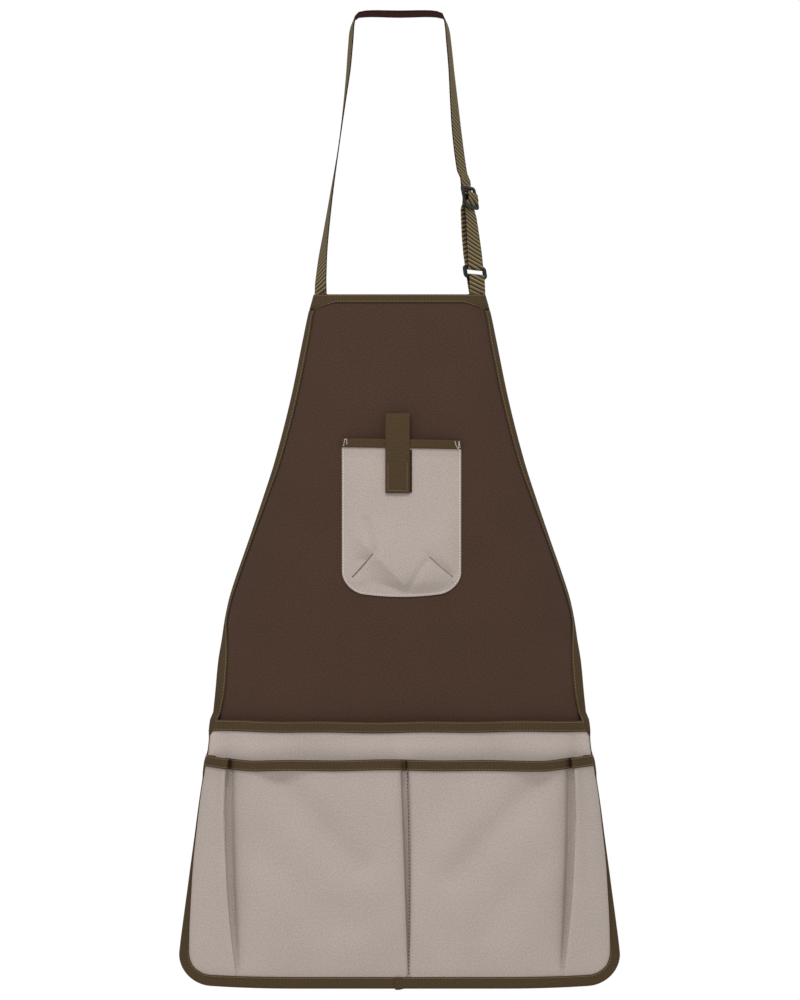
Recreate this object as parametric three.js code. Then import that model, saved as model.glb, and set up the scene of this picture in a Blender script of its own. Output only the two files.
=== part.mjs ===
// Gardening apron, hanging in the shape that it has when it is worn. The bib and skirt are one
// brown cloth that wraps round the chest and waist; grey pockets, folded tapes, a neck strap of
// webbing and two plastic buckles are sewn and threaded onto it.
// Frame: +Z is up and the front of the apron faces -Y. The origin is the middle of the strap
// behind the neck, where the apron hangs.

import * as THREE from "three";

// Overall sizes, in millimetres
const bodyHeight = 771;
const hemWidth = 487;
const neckDrop = 311;
const bodyReach = 152;
const strapHalfSpan = 89;
const hemRadius = 38;

// Walls, the clearance of what is sewn or threaded, and the slack between layers of cloth
const cloth = 1.2;
const tape = 1;
const webbing = 1.3;
const gap = 0.3;
const slack = 0.6;

// Widths of the folded tapes that show, and of the corner of the bib that its tape covers
const edgeTape = 11.7;
const bibTape = 9.2;
const bibCorner = 18;
const bibCornerWidth = 27;
const mouthTape = 12.2;
const chestTape = 10;
const tapeEase = 9;

// Skirt pockets: how far below the top of the bib their mouths lie, and how far they stand out
const upperMouthDrop = 473;
const lowerMouthDrop = 517;
const upperDepth = 9;
const lowerDepth = 17;
const pocketRise = 16;
const gussetSteepness = 4;

// Chest pocket and its tab
const chestMouthDrop = 161;
const chestWidth = 132;
const chestHeight = 175;
const chestRadius = 24;
const chestDepth = 11;
const chestShift = 2.2;
const chestMargin = 2.6;
const dartDepth = 3.5;
const dartSpread = 7;
const tabWidth = 27;
const tabShift = -2.2;
const tabRise = 29;
const tabLength = 60;
const patchInset = 12;
const patchShift = 2.4;
const patchLength = 47;

// The tab's turn from its seam over its fold to the front: how far each place lies below the fold
// and out from the seam, in shares of the radius of the turn
const tabTurn = [
  { below: 1, out: 0 },
  { below: 0.23, out: 0.5 },
  { below: 0.11, out: 1 },
  { below: 0.45, out: 1.6 },
  { below: 2, out: 2.07 },
];
const tabFalls = [0, 0.2, 0.6, 1];

// Neck strap and its plastic parts
const strapWidth = 20;
const strapSlope = 70;
const lapLength = 17;
const layerSpread = 7;
const buckleBar = 3;
const buckleThickness = 2.6;
const slideCentre = 0.657;
const ringCentre = 0.921;
const ringView = 5;
const slideLift = 1.5;
const slotRadius = 1;
const webEase = 1.6;
const webDip = 0.9;
const spreadEase = 0.8;

const bibTop = -neckDrop;
const hem = bibTop - bodyHeight;
const fold = gap + tape;
const panelTop = bibTop - fold;
const panelFoot = hem + fold;
const panelRadius = hemRadius - fold;
const upperMouth = bibTop - upperMouthDrop;
const lowerMouth = bibTop - lowerMouthDrop;
const chestMouth = bibTop - chestMouthDrop;

// The body from the top of the bib down. down is a share of its height, half a share of half the
// hem width, out to the folded edge, and forward a share of its reach in front of the neck. wrap is
// the angle of the broad curve round the wearer and turn the angle of the cloth at the very edge.
const hang = [
  { down: 0, half: 0.394, forward: 0.86, wrap: 12, turn: 52 },
  { down: 0.026, half: 0.413, forward: 0.877, wrap: 13, turn: 60 },
  { down: 0.066, half: 0.44, forward: 0.9, wrap: 15, turn: 58 },
  { down: 0.153, half: 0.497, forward: 0.945, wrap: 20, turn: 57 },
  { down: 0.239, half: 0.567, forward: 0.975, wrap: 26, turn: 62 },
  { down: 0.296, half: 0.624, forward: 0.985, wrap: 30, turn: 65 },
  { down: 0.354, half: 0.686, forward: 0.992, wrap: 34, turn: 73 },
  { down: 0.411, half: 0.749, forward: 0.996, wrap: 38, turn: 76 },
  { down: 0.44, half: 0.777, forward: 0.998, wrap: 39, turn: 79 },
  { down: 0.469, half: 0.796, forward: 1, wrap: 39, turn: 79 },
  { down: 0.498, half: 0.811, forward: 1, wrap: 37, turn: 62 },
  { down: 0.527, half: 0.827, forward: 1, wrap: 34, turn: 46 },
  { down: 0.57, half: 0.841, forward: 1, wrap: 30, turn: 36 },
  { down: 0.613, half: 0.861, forward: 1, wrap: 26, turn: 44 },
  { down: 0.728, half: 0.913, forward: 1, wrap: 20, turn: 42 },
  { down: 0.843, half: 0.959, forward: 1, wrap: 16, turn: 34 },
  { down: 0.944, half: 0.999, forward: 1, wrap: 14, turn: 28 },
  { down: 1, half: 1.01, forward: 1, wrap: 12, turn: 25 },
];
const wrapPower = 2;
const turnPower = 8;

// The strap's route from the left corner of the bib, over the back of the neck and down to the
// right corner. across is a share of half its span at the bib, drop a share of the neck drop, and
// face the angle by which its flat side has turned from facing the neck towards the front.
const route = [
  { across: -0.985, drop: 0.955, face: 36 },
  { across: -0.957, drop: 0.86, face: 26 },
  { across: -0.915, drop: 0.77, face: 17 },
  { across: -0.84, drop: 0.62, face: 8 },
  { across: -0.755, drop: 0.46, face: 3 },
  { across: -0.69, drop: 0.32, face: 6 },
  { across: -0.63, drop: 0.2, face: 12 },
  { across: -0.59, drop: 0.1, face: 14 },
  { across: -0.565, drop: 0.042, face: 12 },
  { across: -0.515, drop: 0.008, face: 6 },
  { across: -0.42, drop: 0, face: 2 },
  { across: 0, drop: 0, face: 0 },
  { across: 0.42, drop: 0, face: 2 },
  { across: 0.515, drop: 0.008, face: 6 },
  { across: 0.565, drop: 0.042, face: 12 },
  { across: 0.6, drop: 0.1, face: 15 },
  { across: 0.64, drop: 0.2, face: 17 },
  { across: 0.685, drop: 0.32, face: 25 },
  { across: 0.72, drop: 0.43, face: 31 },
  { across: 0.775, drop: 0.55, face: 33 },
  { across: 0.85, drop: 0.66, face: 32 },
  { across: 0.88, drop: 0.77, face: 38 },
  { across: 0.925, drop: 0.87, face: 44 },
  { across: 0.95, drop: 0.93, face: 47 },
  { across: 0.975, drop: 0.98, face: 47 },
];

// Side edges of the skirt pockets are stitched flat; inwards, each profile has a row for every
// fold. top and foot are its places at the mouth and at the hem, in shares of half the hem width
// from the middle as seen from the front, and lift is a share of the pocket's depth.
const lowerFolds = [
  { top: -0.835, foot: -0.875, lift: 0.62 },
  { top: -0.806, foot: -0.8, lift: 0.7 },
  { top: -0.794, foot: -0.745, lift: 0.66 },
  { top: -0.787, foot: -0.741, lift: 0.05 },
  { top: -0.766, foot: -0.736, lift: 0 },
  { top: -0.735, foot: -0.71, lift: 0.36 },
  { top: -0.6, foot: -0.57, lift: 0.86 },
  { top: -0.38, foot: -0.36, lift: 1 },
  { top: -0.14, foot: -0.12, lift: 0.9 },
  { top: 0.003, foot: 0.036, lift: 0.66 },
  { top: 0.009, foot: 0.0385, lift: 0.05 },
  { top: 0.034, foot: 0.041, lift: 0 },
  { top: 0.037, foot: 0.0435, lift: 0.05 },
  { top: 0.043, foot: 0.046, lift: 0.66 },
  { top: 0.2, foot: 0.2, lift: 0.9 },
  { top: 0.42, foot: 0.4, lift: 1 },
  { top: 0.62, foot: 0.59, lift: 0.86 },
  { top: 0.74, foot: 0.715, lift: 0.36 },
  { top: 0.77, foot: 0.738, lift: 0 },
  { top: 0.79, foot: 0.743, lift: 0.05 },
  { top: 0.797, foot: 0.747, lift: 0.66 },
  { top: 0.81, foot: 0.8, lift: 0.7 },
  { top: 0.838, foot: 0.875, lift: 0.62 },
];
const upperFolds = [
  { top: -0.8, foot: -0.88, lift: 0.4 },
  { top: -0.76, foot: -0.8, lift: 0.7 },
  { top: -0.68, foot: -0.68, lift: 0.9 },
  { top: -0.53, foot: -0.53, lift: 0.65 },
  { top: -0.443, foot: -0.443, lift: 0.06 },
  { top: -0.36, foot: -0.36, lift: 0.6 },
  { top: -0.2, foot: -0.2, lift: 0.95 },
  { top: 0, foot: 0, lift: 1 },
  { top: 0.2, foot: 0.2, lift: 0.95 },
  { top: 0.36, foot: 0.36, lift: 0.6 },
  { top: 0.443, foot: 0.443, lift: 0.06 },
  { top: 0.53, foot: 0.53, lift: 0.65 },
  { top: 0.68, foot: 0.68, lift: 0.9 },
  { top: 0.76, foot: 0.8, lift: 0.7 },
  { top: 0.8, foot: 0.88, lift: 0.4 },
];

// Fullness of each pocket from its mouth (0) to its foot (1), as a share of its depth
const lowerFullness = [
  { down: 0, full: 0.72 },
  { down: 0.3, full: 0.92 },
  { down: 0.6, full: 1 },
  { down: 0.85, full: 0.62 },
  { down: 0.96, full: 0 },
  { down: 1, full: 0 },
];
const upperFullness = [
  { down: 0, full: 1 },
  { down: 0.2, full: 0.75 },
  { down: 0.6, full: 0.3 },
  { down: 0.9, full: 0 },
  { down: 1, full: 0 },
];
const chestFullness = [
  { down: 0, full: 0.62 },
  { down: 0.45, full: 0.72 },
  { down: 0.78, full: 1 },
  { down: 0.9, full: 0.75 },
  { down: 0.985, full: 0 },
  { down: 1, full: 0 },
];

// Darts of the chest pocket, from their inner ends to their ends at the corners, in shares of
// half its width from its middle and of its height below its mouth
const darts = [
  { fromAcross: -0.48, fromDown: 0.73, toAcross: -0.83, toDown: 0.9 },
  { fromAcross: 0.47, fromDown: 0.745, toAcross: 0.865, toDown: 0.89 },
];

const radians = THREE.MathUtils.degToRad;
const clamp = THREE.MathUtils.clamp;

function ramp(value, from, to) {
  return clamp((value - from) / (to - from), 0, 1);
}

// The value of one column of a table, on a smooth curve through its rows.
function follow(rows, knot, column, at) {
  const last = rows.length - 1;
  let i = 0;
  while (i < last - 1 && at > rows[i + 1][knot]) i += 1;
  const slope = (row) => {
    const before = rows[Math.max(row - 1, 0)];
    const after = rows[Math.min(row + 1, last)];
    return (after[column] - before[column]) / (after[knot] - before[knot]);
  };
  const span = rows[i + 1][knot] - rows[i][knot];
  const t = clamp((at - rows[i][knot]) / span, 0, 1);
  const rest = 1 - t;
  const start = rows[i][column] * (1 + 2 * t) * rest * rest;
  const end = rows[i + 1][column] * (3 - 2 * t) * t * t;
  const bend = slope(i) * rest - slope(i + 1) * t;
  return start + end + bend * span * t * rest;
}

// The level section of the body at a height: its flat half width and points along its curve.
const sections = new Map();
const sectionSteps = 60;
const sectionReach = 1.06;
function sectionAt(z) {
  if (sections.has(z)) return sections.get(z);
  const down = (bibTop - z) / bodyHeight;
  const wrap = radians(follow(hang, "down", "wrap", down));
  const turn = radians(follow(hang, "down", "turn", down));
  const outline = (follow(hang, "down", "half", down) * hemWidth) / 2;
  const heading = (t) => wrap * t ** wrapPower + (turn - wrap) * t ** turnPower;
  const step = sectionReach / sectionSteps;
  const curve = [{ x: 0, y: 0 }];
  for (let i = 0; i < sectionSteps; i += 1) {
    const angle = heading((i + 0.5) * step);
    const { x, y } = curve[i];
    curve.push({ x: x + step * Math.cos(angle), y: y + step * Math.sin(angle) });
  }
  const edge = pointOn(curve, 1 / step).x;
  const tapeOut = (cloth + slack + tape) * Math.sin(turn) + fold * Math.cos(turn);
  const half = (outline - tapeOut) / edge;
  const centre = -bodyReach * follow(hang, "down", "forward", down);
  const section = { half, centre, heading, curve, step };
  sections.set(z, section);
  return section;
}

function pointOn(curve, at) {
  const i = Math.min(Math.floor(at), curve.length - 2);
  const t = at - i;
  return {
    x: curve[i].x + (curve[i + 1].x - curve[i].x) * t,
    y: curve[i].y + (curve[i + 1].y - curve[i].y) * t,
  };
}

// A place on the body: s along the cloth from the middle, its height, and n outwards from its back.
function onBody(s, z, n) {
  const section = sectionAt(z);
  const side = Math.sign(s);
  const share = Math.abs(s) / section.half;
  const { x, y } = pointOn(section.curve, share / section.step);
  const angle = section.heading(share);
  return new THREE.Vector3(
    side * (x * section.half + n * Math.sin(angle)),
    section.centre + y * section.half - n * Math.cos(angle),
    z,
  );
}

// The distance along the cloth to a point that lies x from the middle as seen from the front.
function alongCloth(x, z) {
  const { curve, half, step } = sectionAt(z);
  const share = Math.abs(x) / half;
  let i = 0;
  while (i < curve.length - 2 && curve[i + 1].x < share) i += 1;
  const t = (share - curve[i].x) / (curve[i + 1].x - curve[i].x);
  return Math.sign(x) * (i + t) * step * half;
}

// How far a rounded lower corner takes the edge in at a height above its foot.
function cornerInset(up, radius) {
  const fall = clamp(radius - up, 0, radius);
  return radius - Math.sqrt(radius * radius - fall * fall);
}

function panelHalf(z) {
  return sectionAt(z).half - cornerInset(z - panelFoot, panelRadius);
}

// A closed wall from a grid of points on its outer and inner faces.
function wall(columns, rows, place) {
  const positions = [];
  const index = [];
  const at = (column, row, side) => (side * rows + row) * columns + column;
  for (const side of [0, 1])
    for (let row = 0; row < rows; row += 1)
      for (let column = 0; column < columns; column += 1)
        positions.push(...place(column, row, side).toArray());
  const quad = (a, b, c, d) => index.push(a, b, c, a, c, d);
  for (let row = 0; row < rows - 1; row += 1)
    for (let column = 0; column < columns - 1; column += 1)
      for (const side of [0, 1]) {
        const corners = [
          at(column, row, side),
          at(column, row + 1, side),
          at(column + 1, row + 1, side),
          at(column + 1, row, side),
        ];
        const places = corners.map((i) => positions.slice(3 * i, 3 * i + 3));
        const first = outerCorner(places);
        const way = side ? 1 : 3;
        quad(...[0, 1, 2, 3].map((step) => corners[(first + way * step) % 4]));
      }
  for (let row = 0; row < rows - 1; row += 1) {
    const last = columns - 1;
    quad(at(0, row, 1), at(0, row, 0), at(0, row + 1, 0), at(0, row + 1, 1));
    quad(at(last, row, 0), at(last, row, 1), at(last, row + 1, 1), at(last, row + 1, 0));
  }
  for (let column = 0; column < columns - 1; column += 1) {
    const last = rows - 1;
    quad(at(column, 0, 0), at(column, 0, 1), at(column + 1, 0, 1), at(column + 1, 0, 0));
    quad(at(column, last, 1), at(column, last, 0), at(column + 1, last, 0), at(column + 1, last, 1));
  }
  const geometry = new THREE.BufferGeometry();
  geometry.setAttribute("position", new THREE.Float32BufferAttribute(positions, 3));
  geometry.setIndex(facingOut(positions, index));
  return geometry;
}

// The corner of a facet that lies lowest and furthest out. Every wall splits its facets from
// there, so that layers that lie on each other fold along the same lines.
function outerCorner(places) {
  const reach = places.map(([x, , z]) => Math.abs(x) - z);
  return reach.indexOf(Math.max(...reach));
}

// Turns every triangle round where the wall came out with its faces pointing inwards.
function facingOut(positions, index) {
  const corner = (i) => new THREE.Vector3().fromArray(positions, index[i] * 3);
  let volume = 0;
  for (let i = 0; i < index.length; i += 3)
    volume += corner(i).dot(corner(i + 1).cross(corner(i + 2)));
  return volume < 0 ? index.reverse() : index;
}

// The line that runs a distance behind a profile of { s, n } points, or before it if negative.
function behind(profile, distance) {
  const normals = profile.slice(1).map((point, i) => {
    const ds = point.s - profile[i].s;
    const dn = point.n - profile[i].n;
    const length = Math.hypot(ds, dn);
    return { s: dn / length, n: -ds / length };
  });
  return profile.map((point, i) => {
    const before = normals[Math.max(i - 1, 0)];
    const after = normals[Math.min(i, normals.length - 1)];
    const reach = distance / (1 + before.s * after.s + before.n * after.n);
    return {
      s: point.s + (before.s + after.s) * reach,
      n: point.n + (before.n + after.n) * reach,
    };
  });
}

// A sheet of cloth from the profile of its front at each height, with its wall behind that.
function sheet(heights, profileAt) {
  const fronts = heights.map(profileAt);
  const sides = [fronts.map((front) => behind(front, cloth)), fronts];
  return wall(fronts[0].length, heights.length, (column, row, side) => {
    const { s, n } = sides[side][row][column];
    return onBody(s, heights[row], n);
  });
}

// Heights that the body, the skirt pockets and the edge tapes share, so that they lie parallel
const edgeTop = bibTop - bibCorner - gap;
const cornerTop = panelFoot + panelRadius;
const bibHeights = [
  ...hang.slice(2, 13).map((row) => bibTop - bodyHeight * row.down),
  bibTop - bodyHeight * 0.11,
  bibTop - bodyHeight * 0.196,
].sort((a, b) => b - a);
const mouthHeights = (mouth) => [mouth, mouth - mouthTape, mouth - mouthTape - tapeEase];
const upperHeights = [upperMouth + tapeEase, ...mouthHeights(upperMouth)];
const skirtFalls = [0.18, 0.38, 0.58, 0.78, 0.92];
const belowMouth = lowerMouth - mouthTape - tapeEase;
const lowerHeights = [
  lowerMouth + tapeEase,
  ...mouthHeights(lowerMouth),
  ...skirtFalls.map((share) => belowMouth + (cornerTop - belowMouth) * share),
];
const hemFlat = panelFoot + edgeTape + gap;
const flatTurn = Math.asin(1 - (edgeTape + gap) / panelRadius);
const cornerTurns = [0, flatTurn / 2, flatTurn, ...[60, 76, 90].map(radians)];
const cornerHeights = cornerTurns.map((turn) => cornerTop - panelRadius * Math.sin(turn));
const edgeHeights = [edgeTop, ...bibHeights, ...upperHeights, ...lowerHeights];
const columnShares = [0, 0.17, 0.34, 0.5, 0.64, 0.76, 0.86, 0.94, 1];

function panelColumns(half) {
  const inner = columnShares.map((share) => share * (half - edgeTape));
  const right = [...inner, half];
  const left = right.slice(1).map((s) => -s);
  return [...left.reverse(), ...right];
}

function bodyPanel() {
  const heights = [panelTop, bibTop - bibTape, ...edgeHeights, ...cornerHeights];
  return sheet(heights, (z) => panelColumns(panelHalf(z)).map((s) => ({ s, n: cloth })));
}

// The room that the inner leg of a mouth's tape needs under its pocket, at and just below it.
const innerLeg = fold + gap;
function mouthRoom(z, mouth, width) {
  return innerLeg * (1 - ramp(z, mouth - width, mouth - width - tapeEase));
}

// The front of the stitched layers at the side seams, for the upper and the lower pocket.
function upperSeam(z) {
  return cloth + slack + cloth + mouthRoom(z, upperMouth, mouthTape);
}

function lowerSeam(z) {
  return upperSeam(z) + slack + cloth + mouthRoom(z, lowerMouth, mouthTape);
}

// The outermost layer under the edge tape, which climbs onto each pocket just above its mouth.
function edgeStack(z) {
  const upper = ramp(z, upperMouth + tapeEase, upperMouth) * (upperSeam(upperMouth) - cloth);
  const upperRest = upperSeam(Math.min(z, upperMouth)) - upperSeam(upperMouth);
  const lowerStep = lowerSeam(lowerMouth) - upperSeam(lowerMouth);
  const lower = ramp(z, lowerMouth + tapeEase, lowerMouth) * lowerStep;
  const lowerRest = mouthRoom(Math.min(z, lowerMouth), lowerMouth, mouthTape) - innerLeg;
  return cloth + upper + upperRest + lower + lowerRest;
}

function pocketHeights(mouth, heights) {
  return [mouth - fold, ...heights, ...cornerHeights];
}

function upperBulge(z) {
  return upperDepth * follow(upperFullness, "down", "full", ramp(z, upperMouth, hemFlat));
}

// A skirt pocket's profile: flat under the edge tapes, then one point for each fold.
function skirtProfile(z, mouth, folds, seam, under, bulge, steepness) {
  const down = ramp(z, mouth, hemFlat);
  const half = panelHalf(z);
  const sewn = half - edgeTape - gap;
  const flat = sewn - fold;
  const limit = flat - pocketRise / 4;
  const points = folds.map((row, i) => {
    const x = ((row.top + (row.foot - row.top) * down) * hemWidth) / 2;
    const order = (i + 1) / (folds.length + 1) - 0.5;
    const s = clamp(alongCloth(x, z), -limit, limit) + order * gap;
    const rise = (flat - Math.abs(s)) / pocketRise;
    const base = under(z) * Math.min(rise, 1);
    return { s, n: seam(z) + base + bulge(z) * Math.min(row.lift, rise * steepness) };
  });
  const stitched = (s) => ({ s, n: seam(z) });
  return [
    ...[-half, -sewn, -flat].map(stitched),
    ...points,
    ...[flat, sewn, half].map(stitched),
  ];
}

function upperProfile(z) {
  return skirtProfile(z, upperMouth, upperFolds, upperSeam, () => 0, upperBulge, 1);
}

function lowerBulge(z) {
  return lowerDepth * follow(lowerFullness, "down", "full", ramp(z, lowerMouth, hemFlat));
}

function lowerProfile(z) {
  return skirtProfile(z, lowerMouth, lowerFolds, lowerSeam, upperBulge, lowerBulge, gussetSteepness);
}

// Chest pocket: its half width at a height, and the front of its cloth at a place
const chestFoot = chestMouth - chestHeight;
function chestHalf(z) {
  return chestWidth / 2 - cornerInset(z - chestFoot, chestRadius);
}

function dartDent(across, down) {
  return darts.reduce((dent, dart) => {
    const start = new THREE.Vector3(
      (dart.fromAcross * chestWidth) / 2,
      dart.fromDown * chestHeight,
      0,
    );
    const end = new THREE.Vector3((dart.toAcross * chestWidth) / 2, dart.toDown * chestHeight, 0);
    const here = new THREE.Vector3(across, down * chestHeight, 0);
    const nearest = new THREE.Line3(start, end).closestPointToPoint(here, true, new THREE.Vector3());
    const away = nearest.distanceTo(here) / dartSpread;
    return dent + dartDepth * Math.exp(-away * away);
  }, 0);
}

function chestFront(s, z) {
  const down = ramp(z, chestMouth, chestFoot);
  const across = s - chestShift;
  const free = Math.max(chestHalf(z) - chestMargin, chestMargin);
  const share = clamp(Math.abs(across) / free, 0, 1);
  const crown = 1 - share ** 3;
  const bulge = chestDepth * follow(chestFullness, "down", "full", down) * crown;
  const dent = Math.min(dartDent(across, down), bulge);
  return cloth + gap + cloth + mouthRoom(z, chestMouth, chestTape) + bulge - dent;
}

const chestShares = [-0.85, -0.7, -0.55, -0.4, -0.2, 0, 0.2, 0.4, 0.55, 0.7, 0.85];
function chestProfile(z) {
  const half = chestHalf(z);
  const inner = half - chestMargin;
  const steps = [-half, -inner, ...chestShares.map((share) => share * inner), inner, half];
  return steps.map((step) => {
    const s = step + chestShift;
    return { s, n: chestFront(s, z) };
  });
}

const chestFalls = [0.24, 0.4, 0.54, 0.64, 0.71, 0.77, 0.83];
const chestArc = [0, 25, 48, 68, 90];
const chestHeights = [
  chestMouth - fold,
  chestMouth - chestTape,
  chestMouth - chestTape - tapeEase,
  ...chestFalls.map((share) => chestMouth - chestHeight * share),
  ...chestArc.map((turn) => chestFoot + chestRadius * (1 - Math.sin(radians(turn)))),
];

// A tape folded over the mouth of a pocket, from the profile of the pocket's front. It leaves out
// some points at each side, where the pocket runs on under the edge tape.
function mouthBinding(profileAt, mouth, width, ends) {
  const rows = [
    { z: mouth - width, leg: "front", over: 0 },
    { z: mouth - fold, leg: "front", over: 1 },
    { z: mouth - fold, leg: "back", over: 1 },
    { z: mouth - width, leg: "back", over: 0 },
  ];
  const lines = rows.map((row) => {
    const profile = profileAt(row.z);
    const near = row.leg === "front" ? -gap : cloth + gap;
    const far = row.leg === "front" ? -fold : cloth + fold;
    return [near, far].map((distance) =>
      behind(profile, distance).slice(ends, profile.length - ends),
    );
  });
  return wall(lines[0][0].length, rows.length, (column, row, side) => {
    const { s, n } = lines[row][side][column];
    const rise = rows[row].over * (side ? fold : gap);
    return onBody(s, rows[row].z + rise, n);
  });
}

// The tape over the top of the bib, which reaches further down at its two corners.
function bibBinding() {
  const half = (z) => sectionAt(z).half;
  const columns = panelColumns(half(bibTop));
  const reach = (s) => {
    const corner = ramp(Math.abs(s), half(bibTop) - bibCornerWidth, half(bibTop));
    return bibTape + (bibCorner - bibTape) * corner;
  };
  const rows = [
    { down: 1, front: true },
    { down: 0, front: true },
    { down: 0, front: false },
    { down: 1, front: false },
  ];
  return wall(columns.length, rows.length, (column, row, side) => {
    const { down, front } = rows[row];
    const away = side ? fold : gap;
    const z = down ? bibTop - reach(columns[column]) : panelTop + away;
    const s = panelColumns(half(z))[column];
    return onBody(s, z, front ? cloth + away : -away);
  });
}

// A folded edge tape down one side, round the corner and along the hem to its middle.
const hemShares = [0.84, 0.68, 0.5, 0.34, 0.17];
function edgeBinding(side) {
  const down = edgeHeights.map((z) => ({ s: panelHalf(z), z, in: { s: -1, z: 0 } }));
  const round = cornerTurns.map((turn, i) => ({
    s: panelHalf(cornerHeights[i]),
    z: cornerHeights[i],
    in: { s: -Math.cos(turn), z: Math.sin(turn) },
  }));
  const hemHalf = panelHalf(panelFoot);
  const hemSteps = [...hemShares.map((share) => share * hemHalf), gap / 2];
  const along = hemSteps.map((s) => ({ s, z: panelFoot, in: { s: 0, z: 1 } }));
  const stations = [...down, ...round, ...along];
  const columns = [
    { leg: true, front: true },
    { leg: false, front: true },
    { leg: false, front: false },
    { leg: true, front: false },
  ];
  return wall(columns.length, stations.length, (column, row, face) => {
    const { leg, front } = columns[column];
    const station = stations[row];
    const away = face ? fold : gap;
    const inward = leg ? edgeTape : -away;
    const s = side * (station.s + station.in.s * inward);
    const n = front ? edgeStack(station.z) + slack - gap + away : -away;
    return onBody(s, station.z + station.in.z * inward, n);
  });
}

// A strip of tape or webbing from its middle line and the direction across it at each place.
function strip(places, width, thickness) {
  const last = places.length - 1;
  const along = places.map((place, i) =>
    places[Math.min(i + 1, last)].at.clone().sub(places[Math.max(i - 1, 0)].at).normalize(),
  );
  return wall(2, places.length, (column, row, side) => {
    const { at, across } = places[row];
    const out = across.clone().cross(along[row]).normalize();
    return at
      .clone()
      .addScaledVector(across, (column - 0.5) * width)
      .addScaledVector(out, (side - 0.5) * thickness);
  });
}

// A place on a strip that lies on the body, whose own width runs straight across the cloth. The
// sign of the width says which of its edges is nearer the right of the apron.
function bodyPlace(s, z, n, width) {
  const start = onBody(s - width / 2, z, n);
  const end = onBody(s + width / 2, z, n);
  return { at: start.clone().lerp(end, 0.5), across: end.sub(start).normalize() };
}

// The tab: sewn to the bib above the pocket, folded over at its top and down over the mouth
function chestTab() {
  const top = chestMouth + tabRise;
  const seat = cloth + gap + tape / 2;
  const hold = (z) => chestFront(tabShift, z) + fold + slack + tape / 2;
  const bend = hold(chestMouth) / 3;
  const hanging = tabFalls.map((share) => chestMouth - tabLength * share);
  const rows = [
    { z: chestMouth + 2 * tape, n: seat },
    ...tabTurn.map(({ below, out }) => ({ z: top - bend * below, n: seat + bend * out })),
    ...hanging.map((z) => ({ z, n: hold(z) })),
  ];
  return strip(rows.map(({ z, n }) => bodyPlace(tabShift, z, n, tabWidth)), tabWidth, tape);
}

function chestTabPatch() {
  const s = tabShift + patchShift;
  const top = chestMouth - patchInset;
  const heights = [0, 0.5, 1].map((share) => top - patchLength * share);
  const seat = (z) => chestFront(s, z) + gap + tape / 2;
  return strip(heights.map((z) => bodyPlace(s, z, seat(z), tabWidth)), tabWidth, tape);
}

// The strap's middle line, in the slanted plane of the neck loop
const slope = radians(strapSlope);
const loopForward = -neckDrop / Math.tan(slope);
const loopPlane = new THREE.Vector3(0, -Math.sin(slope), Math.cos(slope));
const middleLine = new THREE.CatmullRomCurve3(
  route.map(
    ({ across, drop }) =>
      new THREE.Vector3(across * strapHalfSpan, drop * loopForward, -drop * neckDrop),
  ),
  false,
  "centripetal",
);
const lineSteps = 600;
middleLine.arcLengthDivisions = lineSteps;
const routeLength = middleLine.getLength();
const faceAngles = route.map((row, i) => ({ knot: i / (route.length - 1), face: row.face }));

// A place by the strap's middle line: distance along it, and n outwards, away from the neck.
function strapPlace(distance, n) {
  const share = clamp(distance / routeLength, 0, 1);
  const along = middleLine.getTangentAt(share);
  const knot = middleLine.getUtoTmapping(share);
  const face = radians(follow(faceAngles, "knot", "face", knot));
  const edge = loopPlane.clone().addScaledVector(along, -loopPlane.dot(along)).normalize();
  const inner = along.clone().cross(edge);
  const across = edge
    .clone()
    .multiplyScalar(Math.cos(face))
    .addScaledVector(inner, Math.sin(face));
  const out = across.clone().cross(along);
  const at = middleLine.getPointAt(share).addScaledVector(out, n);
  return { at, across, along, out };
}

// The distance along the middle line at which the strap's right branch has dropped by a share.
function distanceAtDrop(share) {
  const steps = Array.from({ length: lineSteps }, (unused, i) => 0.5 + i / (2 * lineSteps));
  const passed = steps.filter((step) => -middleLine.getPointAt(step).z < share * neckDrop);
  return passed[passed.length - 1] * routeLength;
}

const slideAt = distanceAtDrop(slideCentre);
const ringAt = distanceAtDrop(ringCentre);
const bendRadius = buckleBar / 2 + 2 * gap + webbing / 2;
const ringInner = ringView + 2 * (bendRadius + webbing / 2 - buckleBar / 2);
const ringHeight = ringInner + 2 * buckleBar;
const ringBar = ringInner / 2 + buckleBar / 2;
const slideSlot = 3 * webbing + 8 * gap;
const slideHeight = 3 * buckleBar + 2 * slideSlot;
const slideBar = slideSlot + buckleBar;
const slotWidth = strapWidth + 5 * gap;
const buckleWidth = slotWidth + 2 * buckleBar;
const lapHalf = sectionAt(bibTop).half - strapWidth / 2 - gap;

// The turn of a strip round a bar that crosses it, seen along the bar.
function bendRound(distance, n, side, from, to) {
  const steps = 6;
  return Array.from({ length: steps + 1 }, (unused, i) => {
    const angle = radians(from + ((to - from) * i) / steps);
    return {
      distance: distance + side * bendRadius * Math.cos(angle),
      n: n + bendRadius * Math.sin(angle),
    };
  });
}

// The end of a strap, sewn on behind the corner of the bib and its tapes.
function lapPlaces(side, layer) {
  const n = -(fold + 2 * slack + webbing / 2) - layer * (webbing + gap);
  const heights = [bibTop - lapLength, bibTop - lapLength / 2, bibTop + gap];
  return heights.map((z) => bodyPlace(side * lapHalf, z, n, -side * strapWidth));
}

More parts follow.
